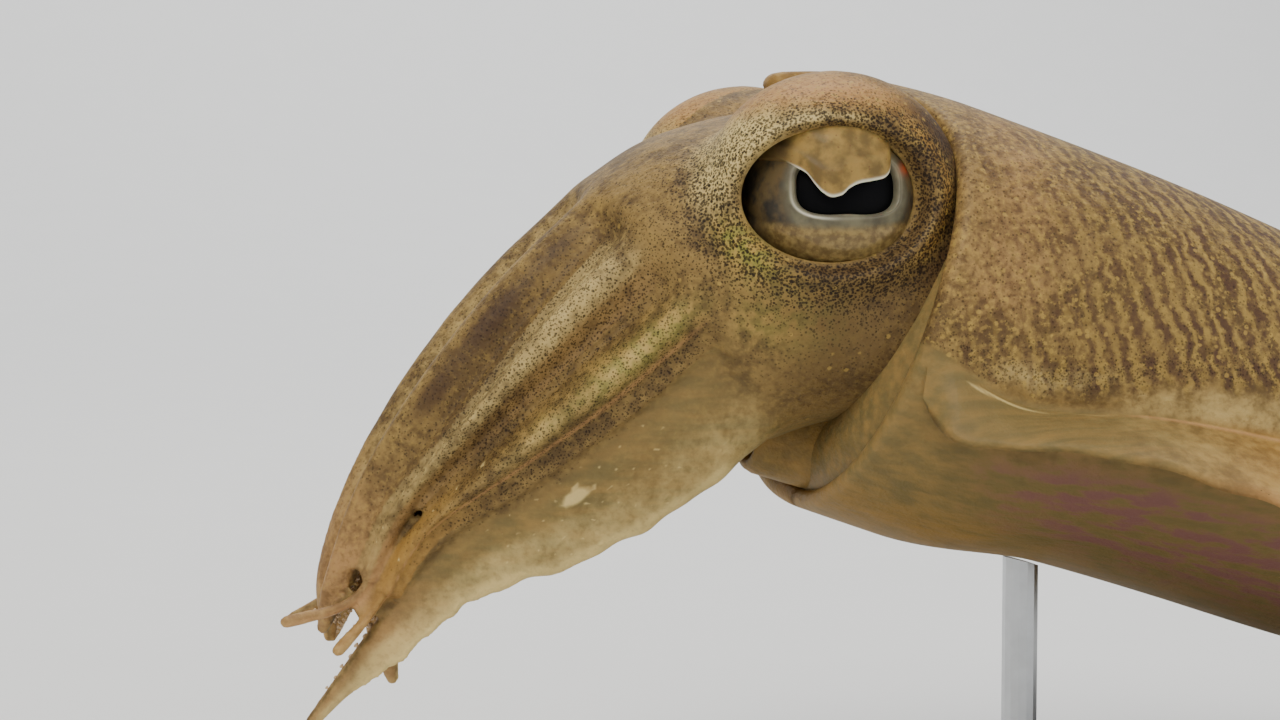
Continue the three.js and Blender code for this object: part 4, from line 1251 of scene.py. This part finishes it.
    def _arm_marks(
        self, on_arm: Array, number: Array, k: Array, across: Array, out: Array,
    ) -> dict[str, Array]:
        """Returns the marks of the four pairs of arms, mostly on their outer faces.

        Args:
            on_arm: how surely each point belongs to an arm.
            number: the number of its arm's pair.
            k: its share along the arm.
            across: its place across the arm, which rises towards the back.
            out: its place out of the arm.

        Returns:
            The strength of each marking.
        """
        outer = on_arm * smooth(-0.3, 0.2, out)
        one, two, three, four = (outer * (number == i) for i in (1, 2, 3, 4))
        fade = smooth(0.95, 0.4, k)
        turns = 2 * math.pi
        keel = on_arm * (number == 4) * smooth(1.3, 1.46, out) * bump(across - 0.05, 0.16)
        beads = smooth(0.0, 0.7, np.sin(turns * (26 * k + 0.8 * np.sin(21 * k)))) * bump(across - 0.94, 0.13)
        dashes = smooth(0.5, 0.9, np.sin(turns * (18 * k + 0.2))) * bump(across - 0.72, 0.1)
        rows = np.sin(turns * 21 * k + 3.1 * across) * np.sin(turns * 4.6 * across + 13 * k)
        patches = sum(bump(k - place, length) * strength for place, length, strength in ARM_PATCHES)
        edges = (one * smooth(-0.86, -1.0, across) + two * smooth(1.0, 1.12, across)
                 + two * smooth(-0.7, -1.05, across) + four * bump(across - 0.98, 0.1)) * 0.3
        return {
            "mottle": one * 0.45 + (two + three + four) * 0.15,
            "pale": (one * smooth(0.2, 0.9, across) * 0.3
                     + two * smooth(-0.85, -0.3, across) * smooth(-0.05, 0.1, k) * 0.42) * fade
            + three * bump(across + 0.1, 0.6) * smooth(0.8, 0.2, k) * 0.34
            + four * smooth(0.9, 0.4, across) * 0.36 + keel * 0.5 + on_arm * smooth(0.65, 0.95, k) * 0.25,
            "dark": one * bump(across + 0.55, 0.34) * patches
            + (edges + three * smooth(0.7, 1.05, across) * 0.25) * fade,
            "blush": one * smooth(0.4, 0.8, k) * 0.5 + four * smooth(0.45, 0.85, k) * 0.45
            + two * (smooth(-0.2, -0.7, across) * 0.25 + smooth(0.5, 0.9, k) * 0.5)
            + three * (bump(across + 0.86, 0.14) * 0.6 + smooth(0.55, 0.9, k) * 0.4),
            "dots": two * smooth(0.75, 0.4, k) * 0.2 + three * smooth(0.7, 0.45, k) * 0.16
            - four * 0.6 - on_arm * smooth(0.45, 0.85, k) * 0.62,
            "specks": two * beads * smooth(0.2, 0.28, k) * smooth(0.85, 0.75, k) * 0.7
            + three * dashes * smooth(0.38, 0.44, k) * smooth(0.8, 0.7, k) * 0.8
            + four * bump(k - 0.362, 0.026) * bump(across - 0.79, 0.07) * 1.2
            + four * smooth(0.72, 0.95, rows) * smooth(0.12, 0.2, k) * smooth(0.62, 0.5, k) * 0.6,
            "green": three * bump(k - 0.1, 0.3) * bump(across + 0.05, 0.75) * 0.7,
            "gold": three * smooth(0.3, 0.7, k) * 0.5,
            "olive": four * 0.8,
        }


# The lower edge of the iris lobe, front to rear, and the two ends of its upper edge, in the eye's frame
LOBE_EDGE = np.array([
    [-9.6, 4.6], [-7.4, 4.3], [-5.7, 3.5], [-4.5, 2.7], [-3.6, 1.4], [-2.7, 0.35], [-1.5, -0.25],
    [-0.4, 0.0], [0.6, 0.85], [1.9, 1.45], [3.6, 1.75], [5.2, 2.15], [6.0, 3.0], [6.25, 4.4], [5.7, 6.4],
])
LOBE_TOP = np.array([[-9.4, 7.6], [6.6, 9.4]])


@dataclass
class Eye:
    """One eye: a black globe, the iris round the pupil and the lobe that hangs over it."""

    frame: EyeFrame

    def build(self) -> list[bpy.types.Object]:
        """Builds the eye's pieces."""
        return [self._globe(), self._iris(), self._curtain()]

    def _piece(self, shell: Shell, name: str) -> bpy.types.Object:
        """Builds a shell that is in the eye's own frame."""
        shell.points = self.frame.to_world(shell.points)
        return shell.build(f"eye_{self.frame.side.label}_{name}")

    def _globe(self) -> bpy.types.Object:
        """Builds the dark inside that shows through the pupil."""
        radius, last = GLOBE_RADIUS - 1.3, 1.9
        grid = on_ball(radius, np.linspace(0.03, last, 40)[:, None], circle(64))
        return self._piece(Shell.tube(grid, *([0, 0, radius * math.cos(v)] for v in (0.0, last))), "globe")

    def _pupil_edge(self, phi: Array) -> Array:
        """Returns how far the pupil's edge is from its middle, a rounded oblong."""
        low = np.where(np.sin(phi) < 0, 3.75 + 0.18 * np.cos(2 * phi), 4.1)
        across, up = np.abs(np.cos(phi) / PUPIL_WIDE), np.abs(np.sin(phi) / low)
        return (across**PUPIL_POWER + up**PUPIL_POWER) ** (-1 / PUPIL_POWER)

    def _iris(self) -> bpy.types.Object:
        """Builds the iris, from a rounded edge at the pupil to the sides of the globe."""
        phi = circle(200)
        edge = self._pupil_edge(phi)
        ex, ey = PUPIL_MIDDLE[0] + edge * np.cos(phi), PUPIL_MIDDLE[1] + edge * np.sin(phi)
        edge_angle = np.arcsin(np.clip(np.hypot(ex, ey) / GLOBE_RADIUS, 0, 0.99))
        edge_turn = np.arctan2(ey, ex)
        s = np.linspace(0, 1, 90)[:, None] ** 1.5
        angle = edge_angle + (1.95 - edge_angle) * s
        turn = edge_turn + np.angle(np.exp(1j * (phi - edge_turn))) * smooth(0, 0.6, s)
        x, y, _ = np.moveaxis(on_ball(GLOBE_RADIUS, angle, turn), -1, 0)
        lift = 0.3 * smooth(-4.2, -5.2, y - 0.015 * x**2) * (angle < 1.6)
        lift += 0.16 * bump(np.hypot((x - 0.6) / 7.9, (y - 0.6) / 6.9) - 1, 0.1)
        lips = np.array([
            on_ball(GLOBE_RADIUS - depth, edge_angle + reach / GLOBE_RADIUS, edge_turn)
            for depth, reach in ((1.1, 0.0), (0.6, -0.12), (0.25, -0.14), (0.07, -0.08))
        ])
        full = np.concatenate([lips, on_ball(GLOBE_RADIUS + lift, angle, turn)])
        obj = self._piece(Shell.sheet(full, True), "iris")
        px, py = full[..., 0], full[..., 1]
        # strength of the painted highlight round the pupil's edge, faint all round and strongest at the lower
        # front
        bright = 0.1 + 0.8 * bump(np.angle(np.exp(1j * (phi - math.radians(215)))), 0.45)
        fold = smooth(-3.4, -4.6, py - 0.01 * px**2) * smooth(-10.5, -7.5, px) * smooth(-9.5, -8.2, py)
        store(
            obj.data,
            silver=smooth(1.08, 0.9, np.hypot((px - 0.6) / 7.9, (py - 0.4) / 7.3)),
            fold=fold * 0.9,
            # rim carries the painted highlight along the pupil's edge
            rim=np.concatenate([np.full((len(lips), len(phi)), 0.08), bump(s * 12 - 0.2, 0.14) * bright]),
            ember=bump(np.hypot(px - 8.3, py - 3.4), 0.8) * 0.8,
            veil=smooth(3.6, 6.2, py - 0.03 * px**2 + 0.12 * px) * smooth(-10.5, -8, px),
        )
        return obj

    def _curtain(self) -> bpy.types.Object:
        """Builds the lobe of the iris, a soft sheet with a rounded bright rim."""
        along = np.concatenate([[0], np.cumsum(np.hypot(*np.diff(LOBE_EDGE, axis=0).T))])
        u = np.linspace(0, 1, 120)
        edge = curve(along / along[-1], LOBE_EDGE, u)
        top = LOBE_TOP[0] + (LOBE_TOP[1] - LOBE_TOP[0]) * smooth(0, 1, u)[:, None]
        v = np.concatenate([np.linspace(0, 0.12, 14), np.linspace(0.14, 1, 34)])[:, None, None]
        flat = edge + (top - edge) * v
        room = np.hypot(*(top - edge).T) * v[..., 0]
        puff = 0.35 + 0.75 * smooth(0, 3.2, room) + 0.9 * smooth(3.5, 8, room) - 0.32 * bump(room, 0.22)
        back = self._on_globe(flat, np.full(room.shape, -0.12))
        obj = self._piece(Shell.sheet(np.concatenate([back[::-1], self._on_globe(flat, puff)])), "curtain")
        bright = bump(room - 0.12, 0.2) * smooth(0.13, 0.2, u)
        dim = smooth(-5.2, -7.5, flat[..., 0]) * 0.8 + bump(room - 3.6, 1.0) * 0.25
        store(
            obj.data,
            rim=np.concatenate([np.zeros(room.shape), bright]),
            shadow=np.concatenate([np.ones(room.shape), np.clip(dim, 0, 1)]),
        )
        return obj

    def _on_globe(self, flat: Array, over: Array) -> Array:
        """Lays flat places on the globe, some way over it."""
        r = GLOBE_RADIUS + over
        across = np.hypot(flat[..., 0], flat[..., 1])
        x, y = np.moveaxis(flat, -1, 0) * np.minimum(1, 0.985 * r / np.maximum(across, 1e-6))
        return np.stack([x, y, np.sqrt(np.maximum(r**2 - x**2 - y**2, 0))], -1)


@dataclass
class Funnel:
    """The funnel under the head: a round tube in front that spreads into a broad collar."""

    bore: float = 3.5
    depth: float = 12.0
    lip_radius: float = 4.45
    lip_half: float = 0.9
    wrap: float = 0.011
    wide: Profile = Profile((0, 5.4), (0.22, 7.2), (0.5, 17), (1, 25))
    high: Profile = Profile((0, 5.4), (0.5, 7.2), (1, 8))

    def build(self) -> bpy.types.Object:
        """Builds the funnel with a rounded lip and a real bore.

        Formula: an oval section carried along a line, whose points rise by the square of their offset.
        """
        tip = from_mantle(7.5, 0.0, -30.6)
        run = from_mantle(31.6, 0.0, -26.0) - tip
        length = np.linalg.norm(run)
        along, across = run / length, np.array([0, 1.0, 0])
        turn = circle(72)
        lip = np.linspace(0.2, math.pi - 0.2, 9)
        depth = [self.depth, self.depth / 2, 1.2, *(self.lip_half * (1 - np.sin(lip)))]
        radius = [self.bore * 0.8, self.bore, self.bore + 0.1, *(self.lip_radius - 0.85 * np.cos(lip))]
        k = np.linspace(1.4 / length, 1, 40)
        at = np.concatenate([np.array(depth) / length, k])[:, None]
        y = np.concatenate([radius, self.wide(k)])[:, None] * np.cos(turn)
        rise = np.concatenate([radius, self.high(k)])[:, None] * np.sin(turn) + self.wrap * at * y**2
        grid = tip + at[..., None] * run + y[..., None] * across + rise[..., None] * np.cross(along, across)
        obj = Shell.tube(grid, tip + along * self.depth, tip + run).build("skin_funnel")
        store(obj.data, olive=0.7, gold=0.3, dots=0.1, speckle=0.3, mottle=0.15, dark=0.1)
        return obj


@dataclass
class Collar:
    """The soft fold inside the mantle's rim that closes the opening round the neck."""

    sunk: float = 1.6
    bulge: float = 3.2

    def build(self) -> bpy.types.Object:
        """Builds the fold.

        Formula: from the mantle's inside towards the neck's middle, each point pushed forward by a
        sine so that the sheet bulges out of the rim.
        """
        angle = circle(180)
        u = np.linspace(0, 1, 26)[:, None]
        t = rim_place(angle) + self.sunk + 4.5 * smooth(0.2, 0.9, np.sin(angle))
        outer = mantle_point(t, angle, -MANTLE_WALL + 0.6)
        middle = from_mantle(RIM + 3.0, 0.0, -9.0)
        push = self.bulge * np.sin(math.pi * np.clip(u / 0.75, 0, 1)) ** 0.8
        push = push * smooth(0.5, -0.2, np.sin(angle))
        grid = outer + (middle - outer) * (0.6 * u)[..., None] + from_mantle(-1.0, 0.0, 0.0) * push[..., None]
        obj = Shell.sheet(grid, True).build("skin_collar")
        store(obj.data, olive=0.9, gold=0.1, dots=0.05, speckle=0.3, mottle=0.2, dark=0.18)
        return obj


@dataclass
class Suckers:
    """The suckers, four across each arm's inner face, all in one piece."""

    arms: list[Arm]
    rows: int = 24
    lanes: tuple = (-0.6, -0.2, 0.2, 0.6)
    around: int = 8

    def build(self) -> bpy.types.Object:
        """Builds every sucker as a small cup on a short stalk.

        Formula: a profile of radius and height turned round its axis, in units of the sucker's size,
        and stood on the arm's inner face.
        """
        turn = circle(self.around)
        profile = [(0.55, -0.9), (0.6, 0.1), (1.0, 0.5), (0.95, 0.85), (0.6, 0.8), (0.45, 0.35), (0.02, 0.3)]
        r, h = np.array(profile).T[:, :, None]
        cup = points_of(r * np.cos(turn), r * np.sin(turn), h).reshape(-1, 3)
        places = []
        for arm in self.arms:
            for lane, s in enumerate(self.lanes):
                k = 0.08 + 0.88 * (np.arange(self.rows) + 0.5 * (lane % 2)) / self.rows
                places.append(self._place(arm, k, s, cup))
        grid = np.concatenate(places)
        faces = grid_faces(len(profile), self.around, True) + (np.arange(len(grid)) * len(cup))[:, None, None]
        shell = Shell(grid.reshape(-1, 3), [tuple(f) for f in faces.reshape(-1, 4).tolist()])
        return shell.build("skin_suckers")

    def _place(self, arm: Arm, k: Array, s: float, cup: Array) -> Array:
        """Returns one lane of cups on an arm's inner face."""
        middle, along, out, across = arm.frame(k)
        half, thick, ring = (size(k)[:, None] for size in (arm.half, arm.thick, arm.ring))
        rise = -((1 - abs(s) ** ARM_POWER) ** (1 / ARM_POWER))
        offset = half * s * (1 + ARM_FLARE * thick * rise / ring)
        foot = middle + across * offset + out * (thick * rise - offset**2 / (ARM_SAG * ring))
        facing = unit(-out + 0.35 * s * across)
        side = unit(np.cross(along, facing))
        ways = np.stack([np.cross(facing, side), side, facing], 1)
        return foot[:, None] + (cup * np.clip(0.17 * half, 0.22, 0.8)[..., None]) @ ways


@dataclass(frozen=True)
class Lamp:
    """A square lamp that looks at the animal or at another place."""

    name: str
    place: tuple
    size: float
    power: float
    colour: tuple = (1.0, 1.0, 1.0)
    aim: tuple = (-0.05, 0, 0.08)

    def build(self) -> None:
        """Hangs the lamp."""
        data = bpy.data.lights.new(self.name, "AREA")
        data.size, data.energy, data.color = self.size, self.power, self.colour
        lamp = bpy.data.objects.new(self.name, data)
        lamp.location = self.place
        lamp.rotation_euler = (Vector(self.aim) - lamp.location).to_track_quat("-Z", "Y").to_euler()
        bpy.context.scene.collection.objects.link(lamp)


@dataclass
class Studio:
    """The pale sweep, the soft lights and the camera."""

    reach: float = 4.0
    bend_start: float = 1.6
    bend_radius: float = 1.2
    lens: float = 67.18
    camera_place: tuple = (-99.62, -305.28, -2.3)  # from between the pupils, in millimetres
    camera_aim: tuple = (0.2583, 0.9641, -0.061)
    lamps: tuple = (
        Lamp("key", (-0.5, -0.65, 0.95), 0.6, 11.0, (1.0, 0.97, 0.9)),
        Lamp("fill", (0.75, -0.8, 0.45), 0.9, 3.0, (0.95, 0.97, 1.0)),
        Lamp("top", (0.05, 0.35, 0.95), 0.6, 4.0, (1.0, 0.98, 0.95)),
        Lamp("wash", (0.4, 1.3, 2.2), 2.0, 60.0, aim=(0.4, 3.2, 0.4)),
    )

    def build(self) -> None:
        """Builds the studio."""
        self._sweep()
        world = bpy.data.worlds.new("soft_light")
        world.use_nodes = True
        background = world.node_tree.nodes["Background"].inputs
        background["Color"].default_value = (0.92, 0.94, 1.0, 1)
        background["Strength"].default_value = 0.5
        bpy.context.scene.world = world
        for lamp in self.lamps:
            lamp.build()
        self._camera()

    def _sweep(self) -> None:
        """Makes the floor and the curved backdrop in one sheet."""
        across = np.linspace(-self.reach, self.reach, 24)
        start, radius = self.bend_start, self.bend_radius
        run = [(-self.reach, 0.0), (start, 0.0)]
        for a in np.linspace(0.05, QUARTER, 24):
            run.append((start + radius * math.sin(a), radius * (1 - math.cos(a))))
        run.append((start + radius, self.reach))
        grid = np.array([[(x, y, z) for x in across] for y, z in run]) / MM
        sweep = Shell.sheet(grid).build("floor", place=np.zeros(3))
        finish = PlainFinish(tone(228, 228, 226), 0.8, vary=0.006, grain_mm=3.0, shine=0.2)
        sweep.data.materials.append(finish.make("pale_floor"))

    def _camera(self) -> None:
        """Sets the camera where the photograph was taken from."""
        data = bpy.data.cameras.new("camera")
        data.lens, data.sensor_width, data.clip_start = self.lens, 36.0, 0.01
        camera = bpy.data.objects.new("camera", data)
        camera.location = to_scene(np.array(self.camera_place))
        camera.rotation_euler = Vector(self.camera_aim).to_track_quat("-Z", "Y").to_euler()
        bpy.context.scene.collection.objects.link(camera)
        bpy.context.scene.camera = camera


def dress(obj: bpy.types.Object, material: bpy.types.Material, nodes: list[str]) -> None:
    """Gives a piece its finish, hangs it under the root and hides the nodes that it stands for."""
    obj.data.materials.clear()
    obj.data.materials.append(material)
    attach(obj, "root")
    if nodes:
        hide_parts(*nodes)
    log.info("%s: %d faces, for %d nodes", obj.name, len(obj.data.polygons), len(nodes))


def main() -> None:
    """Builds the whole scene."""
    logging.basicConfig(level=logging.INFO)
    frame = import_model()
    Studio().build()
    arms = [Arm(pair, side) for side in Side for pair in ARM_PAIRS]
    eyes = [EyeFrame(side) for side in Side]
    skin = SkinFinish().make("moist_skin")

    arm_nodes = [f"arm_{arm.side.label}_{arm.pair.number}_{part}" for arm in arms for part in ("base", "tip")]
    dress(HeadSkin(arms, eyes).build(), skin, ["head", *arm_nodes])
    fin_nodes = [f"fin_{side.label}_{part}" for side in Side for part in ("front", "rear")]
    dress(MantleSkin().build(), skin, ["mantle", *fin_nodes])
    dress(Funnel().build(), skin, ["funnel"])
    dress(Collar().build(), skin, [])
    cup = PlainFinish(tone(206, 178, 140), 0.45, grain_mm=0.3, vary=0.12).make("sucker")
    dress(Suckers(arms).build(), cup, [])

    black = PlainFinish((0.003, 0.003, 0.0035), 0.45, depth=0.0, shine=0.05).make("pupil_black")
    iris, curtain = IrisFinish().make("iris"), CurtainFinish().make("iris_lobe")
    for eye in eyes:
        globe, ring, lobe = Eye(eye).build()
        dress(globe, black, [f"eye_{eye.side.label}"])
        dress(ring, iris, [])
        dress(lobe, curtain, [])

    steel = PlainFinish(tone(190, 192, 194), 0.3, metal=1.0, grain_mm=0.4, depth=0.01).make("brushed_rod")
    paint = PlainFinish(tone(44, 45, 48), 0.5, depth=0.03).make("dark_base")
    for name, obj in frame["nodes"].items():
        if name.startswith("stand_"):
            obj.data.materials.clear()
            obj.data.materials.append(paint if name == "stand_base" else steel)


if __name__ == "__main__":
    main()
